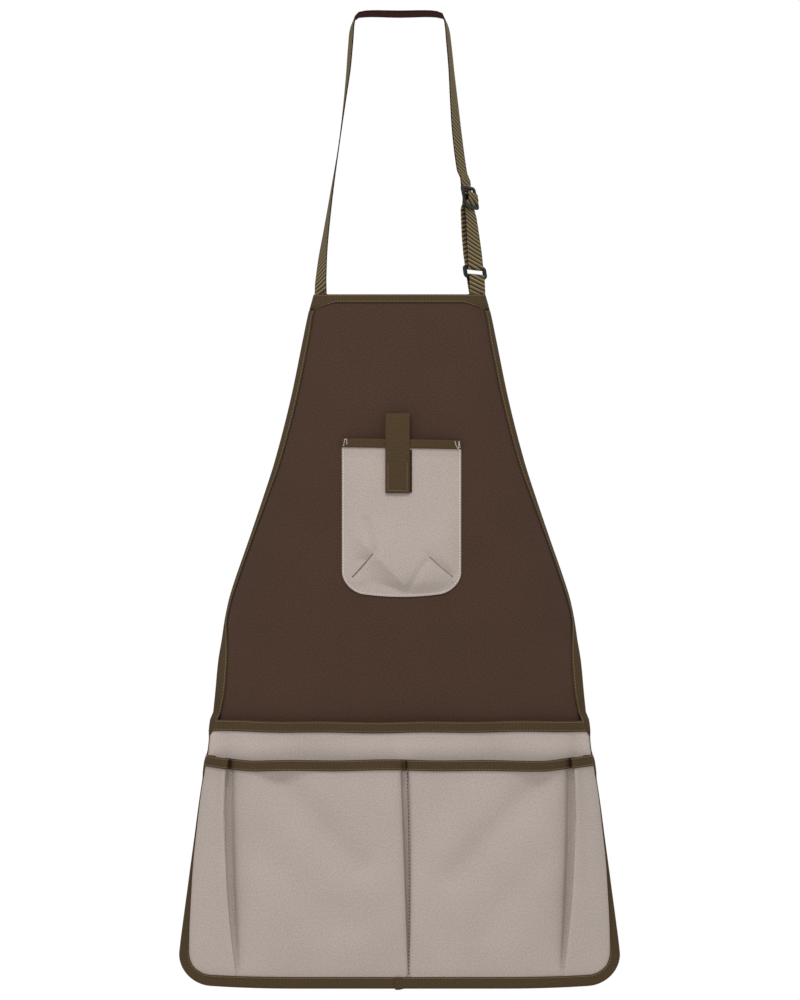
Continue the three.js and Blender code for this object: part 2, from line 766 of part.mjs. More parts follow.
const looseSteps = 60;
function neckStrap() {
  const close = buckleThickness / 2 + gap + webbing / 2;
  const over = close + webbing + 2 * gap;
  const bars = (share) => slideAt + share * slideBar;
  const toFirst = slideAt - slideBar;
  const loose = Array.from({ length: looseSteps + 1 }, (unused, i) => ({
    distance: (i / looseSteps) * (toFirst - strapWidth),
    n: 0,
  }));
  const half = layerSpread / 2;
  const between = [0.5, 0.75];
  const threaded = [
    { distance: toFirst - strapWidth / 2, n: slideLift - close / 2 },
    { distance: toFirst - buckleBar, n: slideLift - close },
    { distance: toFirst + bendRadius, n: slideLift - close },
    { distance: slideAt - bendRadius * webEase, n: slideLift + over * webDip },
    { distance: slideAt - bendRadius, n: slideLift + over },
    { distance: slideAt + bendRadius, n: slideLift + over },
    { distance: slideAt + bendRadius * webEase, n: slideLift + over * webDip },
    { distance: bars(1) - bendRadius, n: slideLift - close },
    { distance: bars(1) + buckleBar / 2, n: slideLift - close },
    { distance: bars(1) + strapWidth / 2, n: half * spreadEase },
    ...between.map((share) => ({ distance: slideAt + (ringAt - slideAt) * share, n: half })),
  ];
  const turned = bendRound(ringAt - ringBar, 0, 1, 90, -90);
  const fixed = slideLift - close - webbing - 2 * gap;
  const returned = [
    ...between
      .map((share) => ({ distance: slideAt + (ringAt - slideAt) * share, n: -half }))
      .reverse(),
    { distance: bars(1) + buckleBar, n: Math.min(fixed, -half) },
    { distance: bars(1) - bendRadius, n: fixed },
    ...bendRound(slideAt, slideLift, -1, -90, 90),
  ];
  const free = [...loose, ...threaded, ...turned, ...returned];
  const places = free.map(({ distance, n }) => strapPlace(distance, n));
  return strip([...lapPlaces(-1, 0), ...places], strapWidth, webbing);
}

function strapTab() {
  const turned = bendRound(ringAt + ringBar, 0, -1, 90, -90);
  const places = turned.map(({ distance, n }) => strapPlace(distance, n));
  return strip(
    [...lapPlaces(1, 0), ...places, ...lapPlaces(1, 1).reverse()],
    strapWidth,
    webbing,
  );
}

// A flat plastic buckle with a row of slots, on the strap at a distance along it.
function buckle(height, slots, distance, n) {
  const outline = roundedRectangle(buckleWidth, height, 0, buckleBar);
  for (const slot of slots)
    outline.holes.push(roundedRectangle(slotWidth, slot.height, slot.at, slotRadius));
  const bevel = buckleThickness / 4;
  const geometry = new THREE.ExtrudeGeometry(outline, {
    depth: buckleThickness - 2 * bevel,
    bevelThickness: bevel,
    bevelSize: bevel,
    bevelOffset: -bevel,
    bevelSegments: 1,
    curveSegments: 3,
  });
  geometry.translate(0, 0, -buckleThickness / 2 + bevel);
  const { at, across, along, out } = strapPlace(distance, n);
  const mesh = new THREE.Mesh(geometry);
  mesh.applyMatrix4(new THREE.Matrix4().makeBasis(across, along, out).setPosition(at));
  return mesh;
}

function roundedRectangle(width, height, middle, radius) {
  const shape = new THREE.Shape();
  const right = width / 2 - radius;
  const top = middle + height / 2 - radius;
  const foot = middle - height / 2 + radius;
  shape.moveTo(right + radius, foot);
  shape.absarc(right, top, radius, 0, Math.PI / 2, false);
  shape.absarc(-right, top, radius, Math.PI / 2, Math.PI, false);
  shape.absarc(-right, foot, radius, Math.PI, 1.5 * Math.PI, false);
  shape.absarc(right, foot, radius, 1.5 * Math.PI, 2 * Math.PI, false);
  shape.closePath();
  return shape;
}

const slideSlots = [-1, 1].map((side) => ({
  at: (side * (buckleBar + slideSlot)) / 2,
  height: slideSlot,
}));
const ringSlots = [{ at: 0, height: ringInner }];

const finishes = {
  brownCloth: { color: 0x48362c, roughness: 0.95 },
  greyCloth: { color: 0xab9f98, roughness: 0.95 },
  oliveTape: { color: 0x4c3d2b, roughness: 0.9 },
  oliveWebbing: { color: 0x60543a, roughness: 0.85 },
  blackPlastic: { color: 0x19201e, roughness: 0.4 },
};
const materials = Object.fromEntries(
  Object.entries(finishes).map(([name, finish]) => [
    name,
    new THREE.MeshStandardMaterial({ ...finish, metalness: 0 }),
  ]),
);

const apron = new THREE.Group();

function sew(name, piece, material) {
  const mesh = piece.isMesh ? piece : new THREE.Mesh(piece);
  mesh.name = name;
  mesh.material = materials[material];
  apron.add(mesh);
}

const upperRows = pocketHeights(upperMouth, [...upperHeights.slice(2), ...lowerHeights]);
const lowerRows = pocketHeights(lowerMouth, lowerHeights.slice(2));
const skirtTape = (profileAt, mouth) => mouthBinding(profileAt, mouth, mouthTape, 2);

sew("body_panel", bodyPanel(), "brownCloth");
sew("bib_top_binding", bibBinding(), "oliveTape");
sew("edge_binding_left", edgeBinding(-1), "oliveTape");
sew("edge_binding_right", edgeBinding(1), "oliveTape");
sew("upper_pocket", sheet(upperRows, upperProfile), "greyCloth");
sew("upper_pocket_tape", skirtTape(upperProfile, upperMouth), "oliveTape");
sew("lower_pocket", sheet(lowerRows, lowerProfile), "greyCloth");
sew("lower_pocket_tape", skirtTape(lowerProfile, lowerMouth), "oliveTape");
sew("chest_pocket", sheet(chestHeights, chestProfile), "greyCloth");
sew("chest_pocket_tape", mouthBinding(chestProfile, chestMouth, chestTape, 0), "oliveTape");
sew("chest_tab", chestTab(), "oliveTape");
sew("chest_tab_patch", chestTabPatch(), "oliveTape");
sew("neck_strap", neckStrap(), "oliveWebbing");
sew("slide_buckle", buckle(slideHeight, slideSlots, slideAt, slideLift), "blackPlastic");
sew("strap_ring", buckle(ringHeight, ringSlots, ringAt, 0), "blackPlastic");
sew("strap_tab", strapTab(), "oliveWebbing");

export default apron;
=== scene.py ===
"""Gardening apron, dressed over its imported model. Sizes are millimetres until they are placed."""
import functools
import math

import bmesh
import bpy
from mathutils import Matrix, Vector


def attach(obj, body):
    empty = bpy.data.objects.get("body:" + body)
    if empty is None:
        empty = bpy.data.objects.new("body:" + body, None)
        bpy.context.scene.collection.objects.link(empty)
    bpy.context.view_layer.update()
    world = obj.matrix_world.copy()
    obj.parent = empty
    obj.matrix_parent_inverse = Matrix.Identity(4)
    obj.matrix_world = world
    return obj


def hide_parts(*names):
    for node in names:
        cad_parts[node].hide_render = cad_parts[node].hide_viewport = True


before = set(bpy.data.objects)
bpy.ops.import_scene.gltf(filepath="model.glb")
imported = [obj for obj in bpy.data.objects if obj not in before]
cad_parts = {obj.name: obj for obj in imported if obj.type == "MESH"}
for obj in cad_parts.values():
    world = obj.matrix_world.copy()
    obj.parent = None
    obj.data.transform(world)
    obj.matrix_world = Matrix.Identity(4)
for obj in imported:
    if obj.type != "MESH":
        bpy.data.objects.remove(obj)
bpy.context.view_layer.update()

# Body panel: one piece of brown canvas, bib and skirt in one, that wraps round the chest and the
# waist. It is cut with a narrow bib, flared sides and rounded lower corners, and its raw edges
# run into the folded tapes.
MM = 0.001
BODY_HEIGHT = 771
HEM_WIDTH = 487
NECK_DROP = 311
BODY_REACH = 152
HEM_RADIUS = 38
CLOTH = 1.2
TAPE = 1
GAP = 0.3
SLACK = 0.6
FOLD = GAP + TAPE
EDGE_TAPE = 11.7
BIB_TOP = -NECK_DROP
HEM = BIB_TOP - BODY_HEIGHT
PANEL_TOP = BIB_TOP - FOLD
PANEL_FOOT = HEM + FOLD
PANEL_RADIUS = HEM_RADIUS - FOLD
CORNER_TOP = PANEL_FOOT + PANEL_RADIUS

# The body from the top of the bib down, in shares of its height, of half the hem width and of its
# reach, with the angle of its broad curve and that of the cloth at its very edge
HANG_COLUMNS = ("down", "half", "forward", "wrap", "turn")
HANG = (
    (0, 0.396, 0.86, 12, 55),
    (0.026, 0.416, 0.877, 13, 86),
    (0.066, 0.443, 0.9, 15, 78),
    (0.153, 0.5, 0.945, 20, 73),
    (0.239, 0.57, 0.975, 26, 72),
    (0.296, 0.627, 0.985, 30, 80),
    (0.354, 0.689, 0.992, 34, 85),
    (0.411, 0.752, 0.996, 38, 84),
    (0.44, 0.78, 0.998, 39, 86),
    (0.469, 0.799, 1, 39, 88),
    (0.498, 0.814, 1, 37, 69),
    (0.527, 0.83, 1, 34, 42),
    (0.57, 0.843, 1, 30, 36),
    (0.613, 0.857, 1, 26, 56),
    (0.671, 0.879, 1, 23, 46),
    (0.728, 0.907, 1, 20, 42),
    (0.786, 0.932, 1, 18, 38),
    (0.843, 0.957, 1, 16, 34),
    (0.944, 0.999, 1, 14, 28),
    (1, 1.01, 1, 12, 25),
)
SECTION_STEPS = 120
SECTION_REACH = 1.06
WRAP_POWER = 2
TURN_POWER = 6
HEM_LIFT = 5.4
HEM_LIFT_FROM = 118
HEM_LIFT_HEIGHT = 70
WELD = 0.001


def ramp(value, start, end):
    """How far a value has come from a start to an end, from 0 to 1."""
    return min(max((value - start) / (end - start), 0.0), 1.0)


def follow(rows, column, at):
    """One column of a table, on a smooth curve through its rows."""
    last = len(rows) - 1
    i = 0
    while i < last - 1 and at > rows[i + 1][0]:
        i += 1

    def slope(row):
        before = rows[max(row - 1, 0)]
        after = rows[min(row + 1, last)]
        return (after[column] - before[column]) / (after[0] - before[0])

    span = rows[i + 1][0] - rows[i][0]
    t = ramp(at, rows[i][0], rows[i + 1][0])
    rest = 1 - t
    start = rows[i][column] * (1 + 2 * t) * rest * rest
    end = rows[i + 1][column] * (3 - 2 * t) * t * t
    return start + end + (slope(i) * rest - slope(i + 1) * t) * span * t * rest


def hanging(name, down):
    """One measure of the body, at a share of its height below the top of the bib."""
    return follow(HANG, HANG_COLUMNS.index(name), down)


@functools.lru_cache(maxsize=None)
def section_at(z):
    """The level section of the body at a height: half its flat width, its middle and its curve."""
    down = (BIB_TOP - z) / BODY_HEIGHT
    wrap = math.radians(hanging("wrap", down))
    turn = math.radians(hanging("turn", down))
    outline = hanging("half", down) * HEM_WIDTH / 2

    def heading(share):
        return wrap * share**WRAP_POWER + (turn - wrap) * share**TURN_POWER

    step = SECTION_REACH / SECTION_STEPS
    curve = [(0.0, 0.0)]
    for i in range(SECTION_STEPS):
        angle = heading((i + 0.5) * step)
        x, y = curve[i]
        curve.append((x + step * math.cos(angle), y + step * math.sin(angle)))
    edge = point_on(curve, 1 / step)[0]
    tape_out = (CLOTH + SLACK + TAPE) * math.sin(turn) + FOLD * math.cos(turn)
    half = (outline - tape_out) / edge
    return half, -BODY_REACH * hanging("forward", down), heading, curve, step


def point_on(curve, at):
    """A place on a line of points, at a count of them."""
    i = min(int(at), len(curve) - 2)
    t = at - i
    (x0, y0), (x1, y1) = curve[i], curve[i + 1]
    return x0 + (x1 - x0) * t, y0 + (y1 - y0) * t


def on_body(s, z, n):
    """A place on the body: s along the cloth from its middle, and n outwards from its back."""
    half, middle, heading, curve, step = section_at(z)
    share = abs(s) / half
    x, y = point_on(curve, share / step)
    angle = heading(share)
    side = math.copysign(1, s)
    out = n * math.sin(angle)
    lift = HEM_LIFT * ramp(abs(s), HEM_LIFT_FROM, HEM_WIDTH / 2) ** 2 * ramp(z, HEM + HEM_LIFT_HEIGHT, HEM)
    return Vector((side * (x * half + out), middle + y * half - n * math.cos(angle), z + lift))


def along_cloth(x, z):
    """The distance along the cloth to a point that lies x from the middle, seen from the front."""
    half, _, _, curve, step = section_at(z)
    share = abs(x) / half
    i = 0
    while i < len(curve) - 2 and curve[i + 1][0] < share:
        i += 1
    t = (share - curve[i][0]) / (curve[i + 1][0] - curve[i][0])
    return math.copysign((i + t) * step * half, x)


def corner_inset(up, radius):
    """How far a rounded corner falls back from its side, at a height above its foot."""
    fall = min(max(radius - up, 0), radius)
    return radius - math.sqrt(radius * radius - fall * fall)


def panel_half(z):
    """Half the flat width of the body panel at a height."""
    return section_at(z)[0] - corner_inset(z - PANEL_FOOT, PANEL_RADIUS)


def between(start, end, steps):
    """Evenly spaced values from a start to an end."""
    return [start + (end - start) * i / steps for i in range(steps + 1)]


def finished(name, mesh, *materials):
    """The piece that a mesh makes, with its materials."""
    data = bpy.data.meshes.new(name)
    mesh.to_mesh(data)
    mesh.free()
    for material in materials:
        data.materials.append(material)
    piece = bpy.data.objects.new(name, data)
    bpy.context.scene.collection.objects.link(piece)
    return piece


def grid_piece(name, columns, rows, place, *materials):
    """A skin from a grid of faces. place(column, row) gives a point and its flat place."""
    mesh = bmesh.new()
    bmesh.ops.create_grid(mesh, x_segments=columns, y_segments=rows, size=0.5)
    flat = {}
    for vert in mesh.verts:
        column = round((vert.co.x + 0.5) * columns)
        row = round((0.5 - vert.co.y) * rows)
        point, flat[vert] = place(column, row)
        vert.co = point * MM
    uv = mesh.loops.layers.uv.new("cloth")
    for face in mesh.faces:
        face.smooth = True
        for loop in face.loops:
            u, v = flat[loop.vert]
            loop[uv].uv = (u * MM, v * MM)
    bmesh.ops.remove_doubles(mesh, verts=mesh.verts, dist=WELD * MM)
    return finished(name, mesh, *materials)


def wall_piece(name, columns, rows, place, thickness, *materials):
    """A wall of cloth or tape whose middle is a grid. A second material is for its other side."""
    piece = grid_piece(name, columns, rows, place, *materials)
    wall = piece.modifiers.new("wall", "SOLIDIFY")
    wall.thickness = thickness * MM
    wall.offset = 0
    wall.material_offset = len(materials) - 1
    return piece


# Finish of every cloth and tape: its shine and sheen, its fibres, the clouds in its dye, and the
# tone and height of its weave
CLOTH_SHINE = 0.03
CLOTH_SHEEN = 0.02
SHEEN_SPREAD = 0.6
FIBRES_PER_METRE = 620
FIBRE_DETAIL = 3
FIBRE_HEIGHT = 0.8
CLOUDS_PER_METRE = 14
CLOUD_DETAIL = 2
CLOUD_RANGE = 0.14
WEAVE_TONE = 0.98
WEAVE_HEIGHT = 0.15
CANVAS_THREAD = 1.3


def feed(tree, node, inputs):
    """Sets a node's inputs, by name or index, to values, or links them to the outputs given."""
    for key, value in inputs.items():
        if isinstance(value, bpy.types.NodeSocket):
            tree.links.new(value, node.inputs[key])
        else:
            node.inputs[key].default_value = value
    return node


def figured(tree, operation, *values):
    """The result of one step of arithmetic on values and outputs."""
    node = tree.nodes.new("ShaderNodeMath")
    node.operation = operation
    return feed(tree, node, dict(enumerate(values))).outputs[0]


def wave(tree, along, pitch):
    """A wave of one thread along a coordinate, from -1 to 1."""
    return figured(tree, "SINE", figured(tree, "MULTIPLY", along, 2 * math.pi / (pitch * MM)))


def speckled(tree, place, scale, detail):
    """A soft uneven pattern, with so many patches to a metre."""
    inputs = {"Vector": place, "Scale": scale, "Detail": detail}
    return feed(tree, tree.nodes.new("ShaderNodeTexNoise"), inputs).outputs[0]


def raised(tree, height, strength, depth):
    """The way that a surface faces where a relief of a given depth raises it."""
    inputs = {"Height": height, "Strength": strength, "Distance": depth * MM}
    return feed(tree, tree.nodes.new("ShaderNodeBump"), inputs).outputs[0]


def new_material(name):
    """A material, and the nodes that its finish is made with."""
    material = bpy.data.materials.new(name)
    material.use_nodes = True
    return material, material.node_tree


def fabric_material(name, colour, weave, roughness, mottle, contrast=0.1, bump=0.35):
    """A woven cloth: weave(tree, u, v) gives its relief, from -1 to 1, in its own flat places."""
    material, tree = new_material(name)
    uv = tree.nodes.new("ShaderNodeUVMap")
    uv.uv_map = "cloth"
    flat = uv.outputs[0]
    apart = feed(tree, tree.nodes.new("ShaderNodeSeparateXYZ"), {0: flat})
    relief = weave(tree, apart.outputs[0], apart.outputs[1])
    fibres = speckled(tree, flat, FIBRES_PER_METRE, FIBRE_DETAIL)
    clouds = speckled(tree, flat, CLOUDS_PER_METRE, CLOUD_DETAIL)
    grain = figured(tree, "MULTIPLY_ADD", fibres, mottle, 1 - mottle / 2)
    cloud = figured(tree, "MULTIPLY_ADD", clouds, CLOUD_RANGE, 1 - CLOUD_RANGE / 2)
    threads = figured(tree, "MULTIPLY_ADD", relief, contrast, WEAVE_TONE)
    shade = figured(tree, "MULTIPLY", figured(tree, "MULTIPLY", grain, cloud), threads)
    tint = tree.nodes.new("ShaderNodeVectorMath")
    tint.operation = "SCALE"
    feed(tree, tint, {0: colour, "Scale": shade})
    height = figured(tree, "MULTIPLY_ADD", fibres, FIBRE_HEIGHT, relief)
    finish = {
        "Base Color": tint.outputs[0],
        "Roughness": roughness,
        "Specular IOR Level": CLOTH_SHINE,
        "Sheen Weight": CLOTH_SHEEN,
        "Sheen Roughness": SHEEN_SPREAD,
        "Normal": raised(tree, height, bump, WEAVE_HEIGHT),
    }
    feed(tree, tree.nodes["Principled BSDF"], finish)
    return material


def canvas_weave(tree, u, v):
    """Plain weave: warp and weft threads that go over and under each other."""
    return figured(tree, "MULTIPLY", wave(tree, u, CANVAS_THREAD), wave(tree, v, CANVAS_THREAD))


def linear(red, green, blue):
    """A colour in linear light from the eight-bit one that the eye reads."""
    parts = (value / 255 for value in (red, green, blue))
    return tuple(p / 12.92 if p < 0.04045 else ((p + 0.055) / 1.055) ** 2.4 for p in parts)


def hang_sheet(piece, columns, rows, place, node):
    """Puts a sheet in the place of its part in the model, which it hides. The flat places at its sides are
    gathered but not used.
    """
    spots = [[place(column, row)[1] for column in (0, columns)] for row in range(rows + 1)]
    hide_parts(node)
    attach(piece, "root")


def wear(piece, slot, *nodes):
    """Puts a trim in the place of its solids, which it hides. Its slot is not used."""
    if nodes:
        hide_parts(*nodes)
    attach(piece, "root")


brown_canvas = fabric_material(
    "brown_canvas", linear(73, 55, 45), canvas_weave, roughness=0.9, mottle=1.1
)

CORNER_STEPS = 20
BODY_COLUMNS = 90
BODY_ROWS = 150
# How much closer the columns of faces lie towards the edges, where the cloth turns
COLUMN_CROWDING = 1.2
quarter_turn = between(0, math.pi / 2, CORNER_STEPS)


def rounded_heights(top, foot, radius, rows):
    """Heights down a straight side and then round the corner at its foot."""
    corner = foot + radius
    return between(top, corner, rows)[:-1] + [corner - radius * math.sin(turn) for turn in quarter_turn]


panel_heights = rounded_heights(PANEL_TOP, PANEL_FOOT, PANEL_RADIUS, BODY_ROWS)
body_rows = len(panel_heights) - 1


def body_place(column, row):
    """A point of the body's cloth and its flat place, as those of the other pieces below."""
    z = panel_heights[row]
    share = 2 * column / BODY_COLUMNS - 1
    s = panel_half(z) * math.copysign(1 - (1 - abs(share)) ** COLUMN_CROWDING, share)
    return on_body(s, z, CLOTH / 2), (s, z)


body = wall_piece("body_cloth", BODY_COLUMNS, body_rows, body_place, CLOTH, brown_canvas)
hang_sheet(body, BODY_COLUMNS, body_rows, body_place, "body_panel")


# Chest pocket: grey canvas patch, sewn to the bib down its sides and round its foot, with a
# sewn dart at each lower corner that gives it depth. White thread shows just inside its edge.
MOUTH_EASE = 9
CHEST_MOUTH = BIB_TOP - 161
CHEST_WIDTH = 132
CHEST_HEIGHT = 175
CHEST_RADIUS = 24
CHEST_DEPTH = 11
CHEST_SHIFT = 2.2
CHEST_MARGIN = 2.6
CHEST_TAPE = 10
CHEST_FOOT = CHEST_MOUTH - CHEST_HEIGHT
CHEST_FULLNESS = ((0, 0.62), (0.45, 0.72), (0.78, 1), (0.9, 0.8), (0.985, 0), (1, 0))
CHEST_FOOT_RISE = 7
CHEST_TILT = 1.1
CHEST_COLUMNS = 150
CHEST_ROWS = 150
# How late towards its sides the pocket's belly and its dents end
BULGE_POWER = 3
DENT_POWER = 6


def chest_line(*places):
    """Two places on the pocket, given in shares of half its width and of its height."""
    return [Vector((x * CHEST_WIDTH / 2, down * CHEST_HEIGHT)) for x, down in places]


# Darts: how deep the cloth is drawn in, and how far that reaches on the outer and inner side
DARTS = (chest_line((-0.48, 0.73), (-0.83, 0.895)), chest_line((0.47, 0.745), (0.865, 0.89)))
DART_DEPTH = 7
DART_OUTER, DART_INNER = 8, 1.8
DART_START = 0.3
# Pulled creases between the darts, and the facet of slack cloth that falls away below one of them
PULLS = (
    chest_line((-0.6, 0.52), (-0.45, 0.73)),
    chest_line((0.4, 0.78), (0.12, 0.95)),
)
PULL_DEPTH = 2
PULL_SPREAD = 4.5
FACET = chest_line((-0.45, 0.735), (0.25, 1))
FACET_DEPTH = 14
FACET_WIDTH = 26
FACET_SPREAD = 30

grey_canvas = fabric_material(
    "grey_canvas", linear(176, 164, 156), canvas_weave, roughness=0.9, mottle=0.7
)


def mouth_room(z, mouth, width):
    """The room that the inner leg of a mouth's tape needs under its pocket."""
    return (FOLD + GAP) * (1 - ramp(z, mouth - width, mouth - width - MOUTH_EASE))


def share_along(here, line):
    """How far along a line a place lies, from 0 to 1."""
    start, end = line
    way = end - start
    return min(max((here - start).dot(way) / way.length_squared, 0), 1)


def near_line(here, line, spread):
    """How near a place lies to a line, from 0 to 1."""
    away = here - line[0].lerp(line[1], share_along(here, line))
    return math.exp(-((away.length / spread) ** 2))


def beside(here, line):
    """How far a place lies to the right of a line, as it is seen from its start."""
    start, end = line
    return -(end - start).cross(here - start) / (end - start).length


def chest_half(z):
    """Half the flat width of the chest pocket at a height."""
    return CHEST_WIDTH / 2 - corner_inset(z - CHEST_FOOT, CHEST_RADIUS)


def chest_front(s, z):
    """The front of the chest pocket's cloth, measured out from the back of the body."""
    down = ramp(z, CHEST_MOUTH, CHEST_FOOT)
    across = s - CHEST_SHIFT
    free = max(chest_half(z) - CHEST_MARGIN, CHEST_MARGIN)
    share = min(abs(across) / free, 1)
    bulge = CHEST_DEPTH * follow(CHEST_FULLNESS, 1, down) * (1 - share**BULGE_POWER)
    here = Vector((across, down * CHEST_HEIGHT))
    dent = 0
    for line in DARTS:
        outer = beside(here, line) * math.copysign(1, line[0].x) > 0
        near = near_line(here, line, DART_OUTER if outer else DART_INNER)
        dent += DART_DEPTH * (DART_START + (1 - DART_START) * share_along(here, line)) * near
    dent += sum(PULL_DEPTH * near_line(here, line, PULL_SPREAD) for line in PULLS)
    below = min(max(-beside(here, FACET) / FACET_WIDTH, 0), 1)
    dent += FACET_DEPTH * below * near_line(here, FACET, FACET_SPREAD)
    room = mouth_room(z, CHEST_MOUTH, CHEST_TAPE)
    return CLOTH + GAP + CLOTH + room + max(bulge - dent * (1 - share**DENT_POWER), 0)


chest_heights = rounded_heights(CHEST_MOUTH - FOLD, CHEST_FOOT, CHEST_RADIUS, CHEST_ROWS)
chest_rows = len(chest_heights) - 1


def chest_settle(s, z):
    """The mouth tilts a little, and the foot curves up to its corners."""
    share = 2 * (s - CHEST_SHIFT) / CHEST_WIDTH
    foot = ramp(z, CHEST_FOOT + 2 * CHEST_RADIUS, CHEST_FOOT)
    return CHEST_FOOT_RISE * share * share * foot - CHEST_TILT * share * (1 - foot)


def chest_place(column, row):
    z = chest_heights[row]
    s = chest_half(z) * (2 * column / CHEST_COLUMNS - 1) + CHEST_SHIFT
    return on_body(s, z + chest_settle(s, z), chest_front(s, z) - CLOTH / 2), (s, z)


chest = wall_piece("chest_cloth", CHEST_COLUMNS, chest_rows, chest_place, CLOTH, grey_canvas)
hang_sheet(chest, CHEST_COLUMNS, chest_rows, chest_place, "chest_pocket")


# Chest pocket tape: ribbed olive tape folded over the mouth of the pocket and sewn through with
# thread of its own colour.
TAPE_RIB = 1.5
TAPE_THREAD = 1.9
TAPE_THREAD_DEPTH = 0.45
OVER_STEPS = 8
MOUTH_LEG_STEPS = 5


def ribbed_weave(tree, u, v):
    """Cross ribs of a tape, which v runs along, with its lengthways threads between them."""
    ribs = wave(tree, v, TAPE_RIB)
    return figured(tree, "MULTIPLY_ADD", wave(tree, u, TAPE_THREAD), TAPE_THREAD_DEPTH, ribs)


olive_tape = fabric_material(
    "olive_tape", linear(76, 61, 43), ribbed_weave, roughness=0.85, mottle=0.9, bump=0.6
)


def over_mouth(mouth, width):
    """Heights and depths of a tape's middle as it goes up the front, over a mouth and down."""
    away = GAP + TAPE / 2
    middle, reach = CLOTH / 2, CLOTH / 2 + away
    top = mouth - FOLD
    front = [(z, -away) for z in between(mouth - width, top, MOUTH_LEG_STEPS)[:-1]]
    turn = [
        (top + away * math.sin(angle), middle - reach * math.cos(angle))
        for angle in between(0, math.pi, OVER_STEPS)
    ]
    back = [(z, CLOTH + away) for z in between(top, mouth - width, MOUTH_LEG_STEPS)[1:]]
    return front + turn + back


def chest_tape_place(column, row):
    z, depth = chest_over[row]
    across = CHEST_WIDTH / 2 * (2 * column / CHEST_COLUMNS - 1)
    s = across + CHEST_SHIFT
    n = chest_front(s, min(z, CHEST_MOUTH - FOLD)) - depth
    return on_body(s, z + chest_settle(s, z), n), (z, s)


chest_over = over_mouth(CHEST_MOUTH, CHEST_TAPE)
chest_tape = wall_piece(
    "chest_mouth_tape", CHEST_COLUMNS, len(chest_over) - 1, chest_tape_place, TAPE, olive_tape
)
wear(chest_tape, "olive_tape", "chest_pocket_tape")


# Hook-and-loop tab: olive tape sewn to the bib above the pocket, folded over at its top, and hung
# down over the mouth. Its darker loop patch is sewn to the pocket below it.
TAB_WIDTH = 27
TAB_SHIFT = -2.2
TAB_RISE = 29
TAB_LENGTH = 60
PATCH_INSET = 12
PATCH_SHIFT = 2.4
PATCH_LENGTH = 47
TAB_COLUMNS = 16
TAB_LEAN = 3.2
# How far the tab lies below its fold and out from its seam, in shares of the turn's radius
TAB_TURN = ((1, 0), (0.23, 0.5), (0.11, 1), (0.45, 1.6), (2, 2.07))
TAB_FALLS = (0, 0.2, 0.6, 0.92, 1)
TAB_STEPS = 8
TAB_CURL = 0.5


def even_curve(points, at):
    """A place on a curve that passes evenly tight through its points, at a count of them."""
    i = min(int(at), len(points) - 2)
    t = at - i
    b, c = points[i], points[i + 1]
    a = points[i - 1] if i else b * 2 - c
    d = points[i + 2] if i + 2 < len(points) else c * 2 - b
    before, here, after = (math.sqrt((q - p).length) for p, q in ((a, b), (b, c), (c, d)))
    leave = ((b - a) / before - (c - a) / (before + here) + (c - b) / here) * here
    reach = ((c - b) / here - (d - b) / (here + after) + (d - c) / after) * here
    swing = (b - c) * 2 + leave + reach
    return b + (leave + ((c - b) * 3 - leave * 2 - reach + swing * t) * t) * t


def smooth_line(points, steps):
    """Points on a smooth line through the given ones, with so many steps between each two."""
    spans = len(points) - 1
    return [even_curve(points, at) for at in between(0, spans, spans * steps)]


def tab_front(z):
    """How far out the tab's middle lies where it hangs over the pocket."""
    return chest_front(TAB_SHIFT, z) + FOLD + SLACK + TAPE / 2


loop_patch = fabric_material("loop_patch", linear(54, 38, 26), canvas_weave, roughness=0.95, mottle=0.9)
tab_top = CHEST_MOUTH + TAB_RISE
tab_seat = CLOTH + GAP + TAPE / 2
tab_bend = tab_front(CHEST_MOUTH) / 3
tab_fall = [CHEST_MOUTH - TAB_LENGTH * share for share in TAB_FALLS]
tab_line = smooth_line(
    [Vector((CHEST_MOUTH + 2 * TAPE, tab_seat))]
    + [Vector((tab_top - tab_bend * below, tab_seat + tab_bend * out)) for below, out in TAB_TURN]
    + [Vector((z, tab_front(z))) for z in tab_fall],
    TAB_STEPS,
)


def tab_curl(across):
    """How far the tab's sides curl back towards the pocket."""
    return TAB_CURL * (2 * across / TAB_WIDTH) ** 2


def tab_place(column, row):
    z, n = tab_line[row]
    across = TAB_WIDTH * (column / TAB_COLUMNS - 0.5)
    lifted = ramp(n, tab_seat, tab_front(CHEST_MOUTH))
    lean = TAB_LEAN * lifted * across / TAB_WIDTH * ramp(z, CHEST_MOUTH, tab_top)
    spot = on_body(TAB_SHIFT + across, z + lean, n - tab_curl(across) * lifted)
    return spot, (across, z if row > TAB_STEPS else -z)


def patch_place(column, row):
    z = CHEST_MOUTH - PATCH_INSET - PATCH_LENGTH * row / TAB_COLUMNS
    s = TAB_SHIFT + PATCH_SHIFT + TAB_WIDTH * (column / TAB_COLUMNS - 0.5)
    return on_body(s, z, chest_front(s, z) + GAP + TAPE / 2), (s, z)


tab = wall_piece("tab", TAB_COLUMNS, len(tab_line) - 1, tab_place, TAPE, olive_tape)
wear(tab, "olive_tape", "chest_tab")
patch = wall_piece("tab_patch", TAB_COLUMNS, TAB_COLUMNS, patch_place, TAPE, loop_patch)
wear(patch, "olive_tape", "chest_tab_patch")


# Upper skirt pocket: the rear layer of grey canvas, sewn flat at the sides and along two upright
# seams that make three compartments. Its mouth lies a little above that of the front layer.
UPPER_MOUTH = BIB_TOP - 473
UPPER_DEPTH = 9
POCKET_RISE = 16
MOUTH_TAPE = 12.2
HEM_FLAT = PANEL_FOOT + EDGE_TAPE + GAP
FINE_STEPS = 6
# Points of a profile before its first fold, and how far from the edge tape a fold stays
FOLD_FROM = 4
FOLD_MARGIN = 4
SKIRT_ROWS = 64
# Where an upright seam runs, in shares of half the hem width
DIVIDER_SHARE = 0.443
